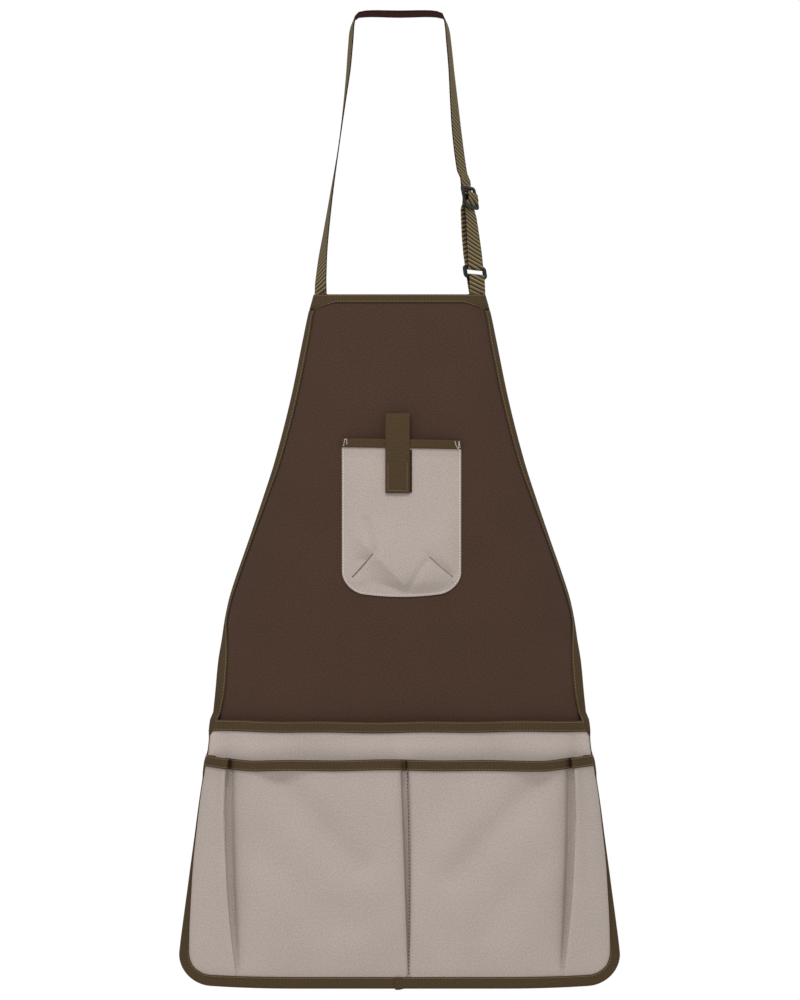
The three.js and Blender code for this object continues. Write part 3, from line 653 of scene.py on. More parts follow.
# Folds across the pocket: places at the mouth and at the hem and how far each bows out between
# them, in shares of half the hem width, and the share of the pocket's depth by which it is lifted
UPPER_FOLDS = (
    (0.8, 0.88, 0, 0.4),
    (0.76, 0.8, 0, 0.7),
    (0.68, 0.68, 0, 0.9),
    (0.53, 0.53, 0, 0.75),
    (DIVIDER_SHARE, DIVIDER_SHARE, 0, 0.5),
    (0.36, 0.36, 0, 0.7),
    (0.2, 0.2, 0, 0.95),
)
# Where the cloth billows over the edge tape: how far past its seam and how far out, by its height
UPPER_BILLOW = (
    (0, -1, 2),
    (0.042, 3, 3),
    (0.06, 7, 4.5),
    (0.08, 7.4, 5),
    (0.15, 7.2, 5),
    (0.3, 1, 3),
    (0.5, -2, 0),
    (1, -3, 0),
)
UPPER_DIP = 2.2
DIP_WIDTH = 120
RIPPLE = 0.45
# The two ripples along a mouth: the length of one radian of each, and where it starts
RIPPLES = ((17, 0), (45.9, 1))
RIPPLE_FADE = 60
UPPER_FULLNESS = ((0, 1), (0.17, 1.05), (0.35, 0.7), (0.6, 0.3), (0.9, 0), (1, 0))


def upper_seam(z):
    """How far out the front of the rear pocket's cloth lies where it is sewn flat."""
    return CLOTH + SLACK + CLOTH + mouth_room(z, UPPER_MOUTH, MOUTH_TAPE)


def upper_bulge(z):
    """How far the rear pocket bellies out at a height."""
    return UPPER_DEPTH * follow(UPPER_FULLNESS, 1, ramp(z, UPPER_MOUTH, HEM_FLAT))


def skirt_profile(z, mouth, folds, billow, seam, under, bulge, steepness):
    """Places along a pocket and out from the body: flat under the edge tapes, one for each fold."""
    down = ramp(z, mouth, HEM_FLAT)
    half = panel_half(z)
    section_half, _, heading, _, _ = section_at(z)
    sewn = half - EDGE_TAPE - GAP
    flat = sewn - FOLD
    limit = flat - FOLD_MARGIN
    points = []
    for i, (top, foot, bow, lift) in enumerate(folds):
        x = (top + (foot - top) * down + 4 * bow * down * (1 - down)) * HEM_WIDTH / 2
        order = (i + 1) / (len(folds) + 1) - 0.5
        turned = heading(min(abs(x) / section_half, 1))
        x -= math.copysign((seam + under + bulge * lift) * math.sin(turned), x)
        s = min(max(along_cloth(x, z), -limit), limit) + order * GAP
        rise = (flat - abs(s)) / POCKET_RISE
        base = under * min(rise, 1)
        points.append(Vector((s, seam + base + bulge * min(lift, rise * steepness))))
    ends = [Vector((s, seam)) for s in (-half, -sewn, -flat, flat, sewn, half)]
    past = sewn + follow(billow, 1, down)
    out = seam + follow(billow, 2, down)
    left, right = Vector((-past, out)), Vector((past, out))
    return smooth_line([*ends[:3], left, *points, right, *ends[3:]], FINE_STEPS)


def mirrored(folds):
    """The folds of one side, then the middle, then the same folds on the other side."""
    left = [(-top, -foot, -bow, lift) for top, foot, bow, lift in folds]
    return [*left, (0, 0, 0, 1), *reversed(folds)]


@functools.lru_cache(maxsize=None)
def upper_profile(z):
    z = min(z, UPPER_MOUTH - FOLD)
    seam = upper_seam(z)
    return skirt_profile(z, UPPER_MOUTH, upper_folds, UPPER_BILLOW, seam, 0, upper_bulge(z), 1)


@functools.lru_cache(maxsize=None)
def behind(profile_at, z, distance):
    """The line that runs a distance behind a pocket's front, or before it if negative."""
    profile = profile_at(z)
    line = []
    for i, point in enumerate(profile):
        way = profile[min(i + 1, len(profile) - 1)] - profile[max(i - 1, 0)]
        line.append(point + Vector((way.y, -way.x)).normalized() * distance)
    return line


def lengths_along(points):
    """The length of a line of points up to each of them."""
    lengths = [0.0]
    for start, end in zip(points, points[1:]):
        lengths.append(lengths[-1] + (end - start).length)
    return lengths


@functools.lru_cache(maxsize=None)
def flat_places(profile_at, z):
    """How far each point of a profile lies along the cloth from the pocket's middle."""
    lengths = lengths_along(profile_at(z))
    return [length - lengths[-1] / 2 for length in lengths]


upper_folds = mirrored(UPPER_FOLDS)


def ripple(s):
    """How far a mouth rises and sinks by its own ripples, along the cloth."""
    return RIPPLE * sum(math.sin(s / length + start) for length, start in RIPPLES)


def upper_settle(s, z):
    """The mouth sinks a little at its middle and ripples, and the cloth below it less."""
    dip = UPPER_DIP * math.exp(-((s / DIP_WIDTH) ** 2))
    return (ripple(s) - dip) * ramp(z, UPPER_MOUTH - RIPPLE_FADE, UPPER_MOUTH - FOLD)


def skirt_pocket(name, node, mouth, profile_at, settle, material, drapes=()):
    """A pocket's cloth. Drapes are shallow valleys that hang across it."""
    heights = rounded_heights(mouth - FOLD, PANEL_FOOT, PANEL_RADIUS, SKIRT_ROWS)
    columns = len(profile_at(heights[0])) - 1

    def place(column, row):
        z = heights[row]
        s, n = behind(profile_at, z, CLOTH / 2)[column]
        n -= sum(depth * near_line(Vector((s, z)), line, spread) for line, depth, spread in drapes)
        return on_body(s, z + settle(s, z), n), (flat_places(profile_at, z)[column], z)

    piece = wall_piece(name, columns, len(heights) - 1, place, CLOTH, material)
    hang_sheet(piece, columns, len(heights) - 1, place, node)


def skirt_tape(name, node, mouth, profile_at, settle):
    """A tape over a mouth of the skirt. It stops where the edge tapes begin."""
    over = over_mouth(mouth, MOUTH_TAPE)
    start = 2 * FINE_STEPS
    columns = len(profile_at(mouth)) - 1 - 2 * start

    def place(column, row):
        z, depth = over[row]
        s, n = behind(profile_at, min(z, mouth - FOLD), depth)[column + start]
        u = flat_places(profile_at, mouth - FOLD)[column + start]
        return on_body(s, z + settle(s, mouth), n), (z, u)

    piece = wall_piece(name, columns, len(over) - 1, place, TAPE, olive_tape)
    wear(piece, "olive_tape", node)


# Painted light: the rear pocket is the same grey canvas, coloured a little lighter to brighten the band
# that lies in the shade of the lower pocket.
grey_canvas_painted_light = fabric_material(
    "grey_canvas_painted_light", linear(187, 174, 166), canvas_weave, roughness=0.9, mottle=0.7
)
skirt_pocket("upper_cloth", "upper_pocket", UPPER_MOUTH, upper_profile, upper_settle, grey_canvas_painted_light)
skirt_tape("upper_mouth_tape", "upper_pocket_tape", UPPER_MOUTH, upper_profile, upper_settle)


# Lower skirt pocket: the front layer of grey canvas. A pleat at its middle and one at each side
# are sewn down to the layer behind, which leaves two large bellied pockets and two side gussets.
LOWER_MOUTH = BIB_TOP - 517
LOWER_DEPTH = 17
GUSSET_STEEPNESS = 4
# Folds as on the rear pocket, here from left to right, and close together at the three pleats
LOWER_FOLDS = (
    (-0.835, -0.875, 0, 0.66),
    (-0.81, -0.8, -0.012, 0.84),
    (-0.797, -0.745, -0.024, 0.84),
    (-0.79, -0.741, -0.024, 0.05),
    (-0.768, -0.736, -0.012, 0),
    (-0.748, -0.716, -0.006, 0.35),
    (-0.6, -0.57, 0, 0.86),
    (-0.38, -0.36, 0, 1),
    (-0.14, -0.12, 0, 0.9),
    (0.001, 0.036, 0, 0.66),
    (0.005, 0.0385, 0, 0.05),
    (0.034, 0.041, 0.006, 0),
    (0.039, 0.0435, 0.01, 0.05),
    (0.043, 0.046, 0.01, 0.66),
    (0.2, 0.2, 0, 0.9),
    (0.42, 0.4, 0, 1),
    (0.62, 0.59, 0, 0.86),
    (0.753, 0.722, 0.006, 0.35),
    (0.772, 0.738, 0.012, 0),
    (0.793, 0.743, 0.024, 0.05),
    (0.8, 0.747, 0.024, 0.84),
    (0.813, 0.8, 0.012, 0.84),
    (0.838, 0.875, 0, 0.66),
)
LOWER_BILLOW = (
    (0, 4, 5),
    (0.1, 6, 7),
    (0.3, 6, 8),
    (0.46, 6, 7.5),
    (0.65, 4, 6),
    (0.83, 1.5, 4),
    (0.95, -0.5, 1.5),
    (1, -3, 0),
)
# Valleys that hang from the pleats: the two ends of each, its depth and its width
LOWER_DRAPES = (
    ((Vector((-130, -850)), Vector((-48, -945))), 7, 17),
    ((Vector((148, -856)), Vector((62, -955))), 7, 17),
    ((Vector((-150, -930)), Vector((-60, -1010))), 2.5, 18),
    ((Vector((152, -945)), Vector((90, -1020))), 2.5, 18),
)
# Which of the folds is the bottom of each pleat
PLEATS = {"left": 4, "centre": 11, "right": 18}
LOWER_FULLNESS = ((0, 0.72), (0.3, 0.92), (0.6, 1), (0.85, 0.66), (0.96, 0.28), (1, 0.05))
END_RISE = 6
END_START = 0.72
END_FADE = 90
END_RIPPLE_SHIFT = 40


def lower_seam(z):
    """How far out the front layer lies where it is sewn flat, on top of the rear one."""
    return upper_seam(z) + SLACK + CLOTH + mouth_room(z, LOWER_MOUTH, MOUTH_TAPE)


@functools.lru_cache(maxsize=None)
def lower_profile(z):
    z = min(z, LOWER_MOUTH - FOLD)
    bulge = LOWER_DEPTH * follow(LOWER_FULLNESS, 1, ramp(z, LOWER_MOUTH, HEM_FLAT))
    seam, under = lower_seam(z), upper_bulge(z)
    return skirt_profile(
        z, LOWER_MOUTH, LOWER_FOLDS, LOWER_BILLOW, seam, under, bulge, GUSSET_STEEPNESS
    )


def end_settle(s, z):
    """The mouth climbs a little towards the side seams, and the cloth below it less and less."""
    out = ramp(abs(s) / section_at(z)[0], END_START, 1)
    fade = ramp(z, LOWER_MOUTH - END_FADE, LOWER_MOUTH - FOLD)
    return (END_RISE * out + ripple(s + END_RIPPLE_SHIFT)) * fade


skirt_pocket(
    "lower_cloth", "lower_pocket", LOWER_MOUTH, lower_profile, end_settle, grey_canvas, LOWER_DRAPES
)
skirt_tape("lower_mouth_tape", "lower_pocket_tape", LOWER_MOUTH, lower_profile, end_settle)


# Edge tapes: ribbed olive tape folded round each side of the body, the rounded lower corner and
# half of the hem, over all the layers that are sewn there. The two ends meet at mid-hem.
BIB_CORNER = 18
EDGE_TOP = BIB_TOP - BIB_CORNER - GAP
EDGE_ROWS = 170
HEM_ROWS = 60
LAP_ROWS = 8
LEG_STEPS = 6
STITCH_INSET = 1.6
JOIN_LAP = 5


def edge_stack(z):
    """The outermost layer under the edge tape, which climbs onto each pocket above its mouth."""
    upper = ramp(z, UPPER_MOUTH + MOUTH_EASE, UPPER_MOUTH) * (upper_seam(UPPER_MOUTH) - CLOTH)
    upper_rest = upper_seam(min(z, UPPER_MOUTH)) - upper_seam(UPPER_MOUTH)
    step = lower_seam(LOWER_MOUTH) - upper_seam(LOWER_MOUTH)
    lower = ramp(z, LOWER_MOUTH + MOUTH_EASE, LOWER_MOUTH) * step
    lower_rest = mouth_room(min(z, LOWER_MOUTH), LOWER_MOUTH, MOUTH_TAPE) - (FOLD + GAP)
    return CLOTH + upper + upper_rest + lower + lower_rest


def edge_stations(end_at):
    """Places down one edge and along the hem, with the way inwards and the length so far."""
    spots = [(panel_half(z), z, -1, 0) for z in between(EDGE_TOP, CORNER_TOP, EDGE_ROWS)[:-1]]
    for turn in quarter_turn:
        z = CORNER_TOP - PANEL_RADIUS * math.sin(turn)
        spots.append((panel_half(z), z, -math.cos(turn), math.sin(turn)))
    end = panel_half(PANEL_FOOT)
    hem = between(end, JOIN_LAP, HEM_ROWS)[1:] + between(JOIN_LAP, end_at, LAP_ROWS)[1:]
    spots += [(s, PANEL_FOOT, 0, 1) for s in hem]
    lengths = lengths_along([Vector(spot[:2]) for spot in spots])
    return [(*spot, length) for spot, length in zip(spots, lengths)]


tape_legs = between(EDGE_TAPE, 0, LEG_STEPS)


def over_edge(stack, lap):
    """Distances in from the cloth's edge and out from its back as the tape goes round it."""
    away = GAP + TAPE / 2 + lap
    front, back = stack + SLACK + TAPE / 2 + lap, -away
    middle, reach = (front + back) / 2, (front - back) / 2
    turn = [
        (-away * math.sin(angle), middle + reach * math.cos(angle))
        for angle in between(0, math.pi, OVER_STEPS)
    ]
    return [(leg, front) for leg in tape_legs[:-1]] + turn + [(leg, back) for leg in tape_legs[-2::-1]]


def edge_place(side, stations):
    """The places of one side's tape. The right one laps over the left at the middle of the hem."""

    def place(column, row):
        s, z, in_s, in_z, length = stations[row]
        lap = (TAPE + GAP) * ramp(s, JOIN_LAP, 0) if side > 0 else 0
        inward, n = over_edge(edge_stack(z), lap)[column]
        return on_body(side * (s + in_s * inward), z + in_z * inward, n), (inward, length)

    return place


edge_columns = 2 * LEG_STEPS + OVER_STEPS
for side, word, end_at in ((-1, "left", 0), (1, "right", -JOIN_LAP)):
    stations = edge_stations(end_at)
    place = edge_place(side, stations)
    edge = wall_piece("edge_tape_" + word, edge_columns, len(stations) - 1, place, TAPE, olive_tape)
    wear(edge, "olive_tape", "edge_binding_" + word)


# Bib tape: the same tape folded over the top edge of the bib, on top of the edge tapes' ends, and
# turned down over its two corners.
BIB_TAPE = 9.2
BIB_CORNER_WIDTH = 27
BIB_COLUMNS = 240
BIB_FILLET = 4.5
BIB_ROW = 1.5
STRAP_WIDTH = 20
# How far each strap's end leans out as it leaves the tape, by its side
LAP_LEAN = {-1: 6.7, 1: 2.8}
bib_half = section_at(BIB_TOP)[0]
bib_rows = 2 * LEG_STEPS + OVER_STEPS


def bib_fillet(s):
    """How far the tape curves up to the inner edge of a strap's end."""
    inner = bib_half - STRAP_WIDTH - GAP + LAP_LEAN[int(math.copysign(1, s))]
    near = max(BIB_FILLET - abs(inner - abs(s)), 0)
    return BIB_FILLET - math.sqrt(BIB_FILLET**2 - near**2)


def bib_reach(s):
    """How far the tape reaches down the bib, which is further at the corners."""
    return BIB_TAPE + (BIB_CORNER - BIB_TAPE) * ramp(abs(s), bib_half - BIB_CORNER_WIDTH, bib_half)


def bib_place(column, row):
    away = GAP + TAPE / 2
    share = 2 * column / BIB_COLUMNS - 1
    s = share * bib_half
    from_end = min(row, bib_rows - row)
    if from_end < LEG_STEPS:
        leg = 1 - from_end / LEG_STEPS
        z = PANEL_TOP - (bib_reach(s) - FOLD) * leg + bib_fillet(s) * (1 - leg)
        n = CLOTH + away if row < LEG_STEPS else -away
    else:
        angle = math.pi * (row - LEG_STEPS) / OVER_STEPS
        z = PANEL_TOP + away * math.sin(angle) + bib_fillet(s)
        n = CLOTH / 2 + (CLOTH / 2 + away) * math.cos(angle)
    return on_body(share * section_at(z)[0], z, n), (row * BIB_ROW, s)


bib = wall_piece("bib_tape", BIB_COLUMNS, bib_rows, bib_place, TAPE, olive_tape)
wear(bib, "olive_tape", "bib_top_binding")


# Neck strap: one long olive twill webbing, sewn behind the left corner of the bib. It goes round
# the back of the neck, over the slide, round the ring and back up to the slide's middle bar.
STRAP_HALF_SPAN = 89
WEBBING = 1.3
STRAP_SLOPE = math.radians(70)
LAP_LENGTH = 17
LAP_TURN = 27
LAYER_SPREAD = 7
BUCKLE_BAR = 3
BUCKLE_THICKNESS = 2.6
SLIDE_CENTRE = 0.657
RING_CENTRE = 0.921
# How much of the ring's opening shows, and the ease of the slide's slots round the webbing
RING_VIEW = 5
SLOT_EASE = 2.2
SLIDE_LIFT = 3.2
LINE_STEPS = 600
LOOSE_STEPS = 90
BEND_STEPS = 10
LAP_STEPS = 6
STRAP_COLUMNS = 10
RIB_PITCH = 5
RIB_CLIMB = 0.4
FINE_RIB_DEPTH = 0.5
# Where the webbing climbs over the slide's middle bar, in shares of its bend round that bar
CLIMB_START = 2.2
SHOULDER = 1.6
SHOULDER_HEIGHT = 0.9
# How its two layers spread between slide and ring, and where they are apart, in shares of the way
SPREAD_START = 0.7
APART = (0.5, 0.75)
# Places of the strap's middle line: across in shares of half its span, its drop in shares of the
# neck's, and the angle by which its flat side has turned to the front
ROUTE = (
    (-0.985, 0.955, 36),
    (-0.957, 0.86, 26),
    (-0.915, 0.77, 17),
    (-0.84, 0.62, 8),
    (-0.755, 0.46, 3),
    (-0.69, 0.32, 6),
    (-0.64, 0.2, 12),
    (-0.61, 0.095, 14),
    (-0.59, 0.036, 12),
    (-0.545, 0.002, 6),
    (-0.45, -0.006, 2),
    (0, -0.006, 0),
    (0.45, -0.006, 2),
    (0.545, 0.002, 6),
    (0.59, 0.036, 12),
    (0.615, 0.095, 15),
    (0.65, 0.2, 17),
    (0.685, 0.32, 25),
    (0.72, 0.43, 31),
    (0.775, 0.55, 33),
    (0.85, 0.66, 32),
    (0.88, 0.77, 42),
    (0.918, 0.87, 54),
    (0.945, 0.93, 56),
    (0.975, 0.98, 52),
)
loop_forward = -NECK_DROP / math.tan(STRAP_SLOPE)
loop_plane = Vector((0, -math.sin(STRAP_SLOPE), math.cos(STRAP_SLOPE)))
knots = [Vector((a * STRAP_HALF_SPAN, d * loop_forward, -d * NECK_DROP)) for a, d, _ in ROUTE]
faces = [(i / (len(ROUTE) - 1), face) for i, (_, _, face) in enumerate(ROUTE)]


def middle_line(share):
    """A place on the strap's middle line, at a share of its knots."""
    return even_curve(knots, share * (len(knots) - 1))


line_points = [middle_line(share) for share in between(0, 1, LINE_STEPS)]
line_lengths = lengths_along(line_points)


def line_share(distance):
    """The share of the knots passed at a distance along the middle line."""
    i = 0
    while i < LINE_STEPS - 1 and line_lengths[i + 1] < distance:
        i += 1
    part = (distance - line_lengths[i]) / (line_lengths[i + 1] - line_lengths[i])
    return min(max((i + part) / LINE_STEPS, 0), 1)


def strap_place(distance, n):
    """A place by the middle line, n outwards from the neck, with the ways across and along."""
    share = line_share(distance)
    near = 0.5 / LINE_STEPS
    along = middle_line(min(share + near, 1)) - middle_line(max(share - near, 0))
    along.normalize()
    face = math.radians(follow(faces, 1, share))
    edge = (loop_plane - along * loop_plane.dot(along)).normalized()
    across = edge * math.cos(face) + along.cross(edge) * math.sin(face)
    return middle_line(share) + across.cross(along) * n, across, along


def distance_at_drop(drop):
    """The distance along the middle line, past the nape, where it has come down by a share."""
    i = LINE_STEPS // 2
    while -line_points[i + 1].z < drop * NECK_DROP:
        i += 1
    return line_lengths[i]


slide_at = distance_at_drop(SLIDE_CENTRE)
ring_at = distance_at_drop(RING_CENTRE)
bend_radius = BUCKLE_BAR / 2 + 2 * GAP + WEBBING / 2
ring_inner = RING_VIEW + 2 * (bend_radius + WEBBING / 2 - BUCKLE_BAR / 2)
ring_bar = ring_inner / 2 + BUCKLE_BAR / 2
slide_slot = 3 * WEBBING + 8 * GAP + SLOT_EASE
slide_bar = slide_slot + BUCKLE_BAR
lap_half = bib_half - STRAP_WIDTH / 2 - GAP


def bend_round(distance, n, side, start, end):
    """The turn of the webbing round a bar that crosses it."""
    angles = [math.radians(angle) for angle in between(start, end, BEND_STEPS)]
    return [
        (distance + side * bend_radius * math.cos(angle), n + bend_radius * math.sin(angle))
        for angle in angles
    ]


def lap_places(side, layer, turn=0):
    """The end of a strap, sewn on behind the bib's corner. It leans out and turns as it leaves."""
    n = -(FOLD + 2 * SLACK + WEBBING / 2) - layer * (WEBBING + GAP)
    width = -side * STRAP_WIDTH
    places = []
    for share in between(0, 1, LAP_STEPS):
        z = BIB_TOP - LAP_LENGTH * (1 - share) + 2 * GAP * share
        inner = on_body(side * lap_half + width / 2, z, n)
        flat = (inner - on_body(side * lap_half - width / 2, z, n)).normalized()
        angle = math.radians(turn) * share**2
        across = (flat * math.cos(angle) - Vector((0, math.sin(angle), 0))).normalized()
        places.append((inner - flat * LAP_LEAN[side] * share**3 - across * STRAP_WIDTH / 2, across))
    return places


def webbing_weave(tree, u, v):
    """Twill: ribs that climb across the webbing, one way up to the nape and the other way after."""
    nape = (LAP_LENGTH + line_lengths[LINE_STEPS // 2]) * MM
    away = figured(tree, "ABSOLUTE", figured(tree, "SUBTRACT", v, nape))
    climb = figured(tree, "MULTIPLY_ADD", u, RIB_CLIMB, away)
    fine_ribs = wave(tree, climb, RIB_PITCH / 2)
    return figured(tree, "MULTIPLY_ADD", fine_ribs, FINE_RIB_DEPTH, wave(tree, climb, RIB_PITCH))


def webbing_piece(name, places, node, alike_from, *materials):
    """A strap along its places, with the second material on both sides from one of them."""
    lengths = lengths_along([at for at, _ in places])

    def place(column, row):
        at, across = places[row]
        width = STRAP_WIDTH * (column / STRAP_COLUMNS - 0.5)
        return at + across * width, (width, lengths[row])

    piece = wall_piece(name, STRAP_COLUMNS, len(places) - 1, place, WEBBING, *materials)
    wear(piece, "olive_webbing", node)
    for face in piece.data.polygons:
        reached = piece.data.uv_layers[0].uv[face.loop_start].vector.y
        face.material_index = int(reached > lengths[alike_from] * MM)


olive_webbing = fabric_material(
    "olive_webbing",
    linear(101, 89, 64),
    webbing_weave,
    roughness=0.75,
    mottle=0.8,
    contrast=0.8,
    bump=0.8,
)
# Painted shade: the webbing's inner face, towards the neck, is coloured dark maroon for the shade it lies
# in; the webbing itself is olive on both sides.
webbing_painted_shade = fabric_material(
    "webbing_painted_shade", linear(50, 20, 12), webbing_weave, roughness=0.8, mottle=0.5, bump=0.6
)
# Heights of the webbing's middle over the strap's own line: under the slide's bars, in the sewn
# end below that, and over the middle bar
close = BUCKLE_THICKNESS / 2 + GAP + WEBBING / 2
over = close + WEBBING + 2 * GAP
under = SLIDE_LIFT - close
fixed = SLIDE_LIFT - over
crest = SLIDE_LIFT + over
shoulder = SLIDE_LIFT + over * SHOULDER_HEIGHT
half_spread = LAYER_SPREAD / 2
first_bar = slide_at - slide_bar
last_bar = slide_at + slide_bar
apart_from, apart_to = (slide_at + (ring_at - slide_at) * share for share in APART)
loose = [(distance, 0) for distance in between(0, first_bar - STRAP_WIDTH, LOOSE_STEPS)]
threaded = [
    (first_bar - STRAP_WIDTH / 2, SLIDE_LIFT - close / 2),
    (first_bar - BUCKLE_BAR, under),
    (slide_at - bend_radius * CLIMB_START, under),
    (slide_at - bend_radius * SHOULDER, shoulder),
    (slide_at - bend_radius, crest),
    (slide_at + bend_radius, crest),
    (slide_at + bend_radius * SHOULDER, shoulder),
    (last_bar - bend_radius, under),
    (last_bar + BUCKLE_BAR / 2, under),
    (last_bar + STRAP_WIDTH / 2, half_spread * SPREAD_START),
    (apart_from, half_spread),
    (apart_to, half_spread),
]
returned = [
    (apart_to, -half_spread),
    (apart_from, -half_spread),
    (last_bar + BUCKLE_BAR, min(fixed, -half_spread)),
    (last_bar - bend_radius, fixed),
]
turned = bend_round(ring_at - ring_bar, 0, 1, 90, -90)
round_bar = bend_round(slide_at, SLIDE_LIFT, -1, -90, 90)
free = [*loose, *threaded, *turned, *returned, *round_bar]
strap_line = lap_places(-1, 0, LAP_TURN) + [strap_place(distance, n)[:2] for distance, n in free]
back_from = len(strap_line) - len(returned) - len(round_bar)
# The neck webbing has the painted shade on its inner face as far as its returned end; the ring's webbing
# has it on its other side.
webbing_piece("neck_webbing", strap_line, "neck_strap", back_from, webbing_painted_shade, olive_webbing)

tab_turn = bend_round(ring_at + ring_bar, 0, -1, 90, -90)
tab_strap = lap_places(1, 0) + [strap_place(distance, n)[:2] for distance, n in tab_turn]
tab_strap += lap_places(1, 1)[::-1]
webbing_piece("ring_webbing", tab_strap, "strap_tab", -1, olive_webbing, webbing_painted_shade)


# Slide and ring: moulded black plastic with rounded bars and a satin face, threaded on the
# webbing. The slide has a bar across its middle, and the ring has none.
PLASTIC_SHINE = 0.25
GRAINS_PER_METRE = 900
GRAIN_DETAIL = 2
SMOOTHEST = 0.4
ROUGHNESS_RANGE = 0.2
GRAIN_STRENGTH = 0.2
GRAIN_DEPTH = 0.05


def moulded_material(name, colour):
    """Satin plastic with the fine grain of its mould."""
    material, tree = new_material(name)
    place = tree.nodes.new("ShaderNodeTexCoord").outputs["Object"]
    grain = speckled(tree, place, GRAINS_PER_METRE, GRAIN_DETAIL)
    finish = {
        "Base Color": (*colour, 1),
        "Roughness": figured(tree, "MULTIPLY_ADD", grain, ROUGHNESS_RANGE, SMOOTHEST),
        "Specular IOR Level": PLASTIC_SHINE,
        "Normal": raised(tree, grain, GRAIN_STRENGTH, GRAIN_DEPTH),
    }
    feed(tree, tree.nodes["Principled BSDF"], finish)
    return material


FRAME_SIDE = 5
FRAME_END = 3.6
FRAME_ROUND = 3
FRAME_PATH = 48
FRAME_SECTION = 20
SQUARENESS = 0.55
SLIDE_LEAN = 6


def squared(value):
    """A part of a round section, drawn out towards a square one with soft corners."""
    return math.copysign(abs(value) ** SQUARENESS, value)


def moulded_bar(name, distance, lift, path, closed, lean=0):
    """A bar that follows a flat path of places across and along, at a distance on the strap."""
    middle, across, along = strap_place(distance, lift)
    up = across.cross(along)
    leaning = Matrix.Rotation(math.radians(lean), 3, up)
    across, along = leaning @ across, leaning @ along
    last = len(path) - 1

    def place(column, row):
        before = path[(row - 1) % last] if closed else path[max(row - 1, 0)]
        after = path[(row + 1) % last] if closed else path[min(row + 1, last)]
        way = (after - before).normalized()
        width = FRAME_END + (FRAME_SIDE - FRAME_END) * abs(way.y)
        turn = 2 * math.pi * column / FRAME_SECTION
        aside = Vector((way.y, -way.x)) * squared(math.cos(turn)) * width / 2
        spot = path[row] + aside
        height = squared(math.sin(turn)) * BUCKLE_THICKNESS / 2
        return middle + across * spot.x + along * spot.y + up * height, (column, row)

    return grid_piece(name, FRAME_SECTION, last, place, black_plastic)


def frame_path(half_length):
    """The middle of a frame's bars, round its four rounded corners."""
    half_width = STRAP_WIDTH / 2 + 2 * GAP + FRAME_SIDE / 2
    path = []
    for i in range(FRAME_PATH + 1):
        turn = 2 * math.pi * (i % FRAME_PATH + 0.5) / FRAME_PATH
        quarter = Vector((math.copysign(1, math.cos(turn)), math.copysign(1, math.sin(turn))))
        corner = Vector((quarter.x * (half_width - FRAME_ROUND), quarter.y * (half_length - FRAME_ROUND)))
        path.append(corner + Vector((math.cos(turn), math.sin(turn))) * FRAME_ROUND)
    return path


black_plastic = moulded_material("black_plastic", linear(24, 30, 27))
slide_path = frame_path(slide_bar)
slide = moulded_bar("slide_frame", slide_at, SLIDE_LIFT, slide_path, closed=True, lean=SLIDE_LEAN)
wear(slide, "black_plastic", "slide_buckle")
bar_half = STRAP_WIDTH / 2 + FRAME_SIDE / 2
bar_path = [Vector((x, 0)) for x in (-bar_half, 0, bar_half)]
bar = moulded_bar("slide_bar", slide_at, SLIDE_LIFT, bar_path, closed=False, lean=SLIDE_LEAN)
wear(bar, "black_plastic")
ring = moulded_bar("ring_frame", ring_at, 0, frame_path(ring_bar), closed=True)
wear(ring, "black_plastic", "strap_ring")


# Seams: lockstitches in thread of the tapes' own colour, white ones round the chest pocket, grey
# and dark ones down the pleats and dividers, where the dark thread of the middle pleat also paints
# the shade at the bottom of its fold, and dense bartacks where the front mouth is held.
STITCH_PITCH = 3.5
STITCH_FILL = 0.74
THREAD = 0.38
THREAD_SIDES = 6
# How far a stitch's ends are rounded, as a share of its radius, and the least length that counts
# between two places of a seam
THREAD_ROUNDING = 0.5
LEAST_LENGTH = 1e-6
# How far the middle of a stitch lies above the cloth, and where the cloth closes over it
STITCH_RISE = 0.4 * THREAD
DART_RISE = 0.3 * THREAD
DIVIDER_RISE = 0.2 * THREAD
# How seams differ from the lockstitch of the tapes
PLEAT_STITCH = {"pitch": 4, "radius": 0.45, "fill": 0.5}
DIVIDER_STITCH = {"pitch": 3.2, "radius": 0.45, "fill": 0.5}
CHEST_STITCH = {"pitch": 3.2, "radius": THREAD, "fill": 0.6}
DART_STITCH = {"pitch": 1.9, "radius": 0.5, "fill": 0.9}
LOOP_PITCH = 1.6
TAB_PITCH = 2.4


def thread_material(name, colour):
    """Sewing thread, smoother than the cloths."""
    return fabric_material(name, colour, canvas_weave, roughness=0.7, mottle=0.2)


def stitch_seam(name, line, material, slot, pitch=STITCH_PITCH, radius=THREAD, fill=STITCH_FILL):
    """A row of stitches along a line of points and the ways out of the cloth there."""
    mesh = bmesh.new()
    lengths = lengths_along([point for point, _ in line])
    count = max(int(lengths[-1] / pitch), 1)
    i = 0
    for step in range(count):
        at = (step + 0.5) * lengths[-1] / count
        while i < len(line) - 2 and lengths[i + 1] < at:
            i += 1
        part = (at - lengths[i]) / max(lengths[i + 1] - lengths[i], LEAST_LENGTH)
        point = line[i][0].lerp(line[i + 1][0], part)
        along = (line[i + 1][0] - line[i][0]).normalized()
        out = line[i][1]
        across = along.cross(out).normalized()
        out = across.cross(along)
        place = Matrix((across, out, along)).transposed().to_4x4()
        place.translation = point * MM
        bmesh.ops.create_cone(
            mesh,
            cap_ends=True,
            segments=THREAD_SIDES,
            radius1=radius * MM,
            radius2=radius * MM,
            depth=pitch * fill * MM,
            matrix=place,
        )
    bmesh.ops.bevel(
        mesh,
        geom=[e for e in mesh.edges if any(len(f.verts) == THREAD_SIDES for f in e.link_faces)],
        offset=radius * THREAD_ROUNDING * MM,
        segments=1,
        profile=0.5,
        affect="EDGES",
        material=-1,
    )
    wear(finished(name, mesh, material), slot)


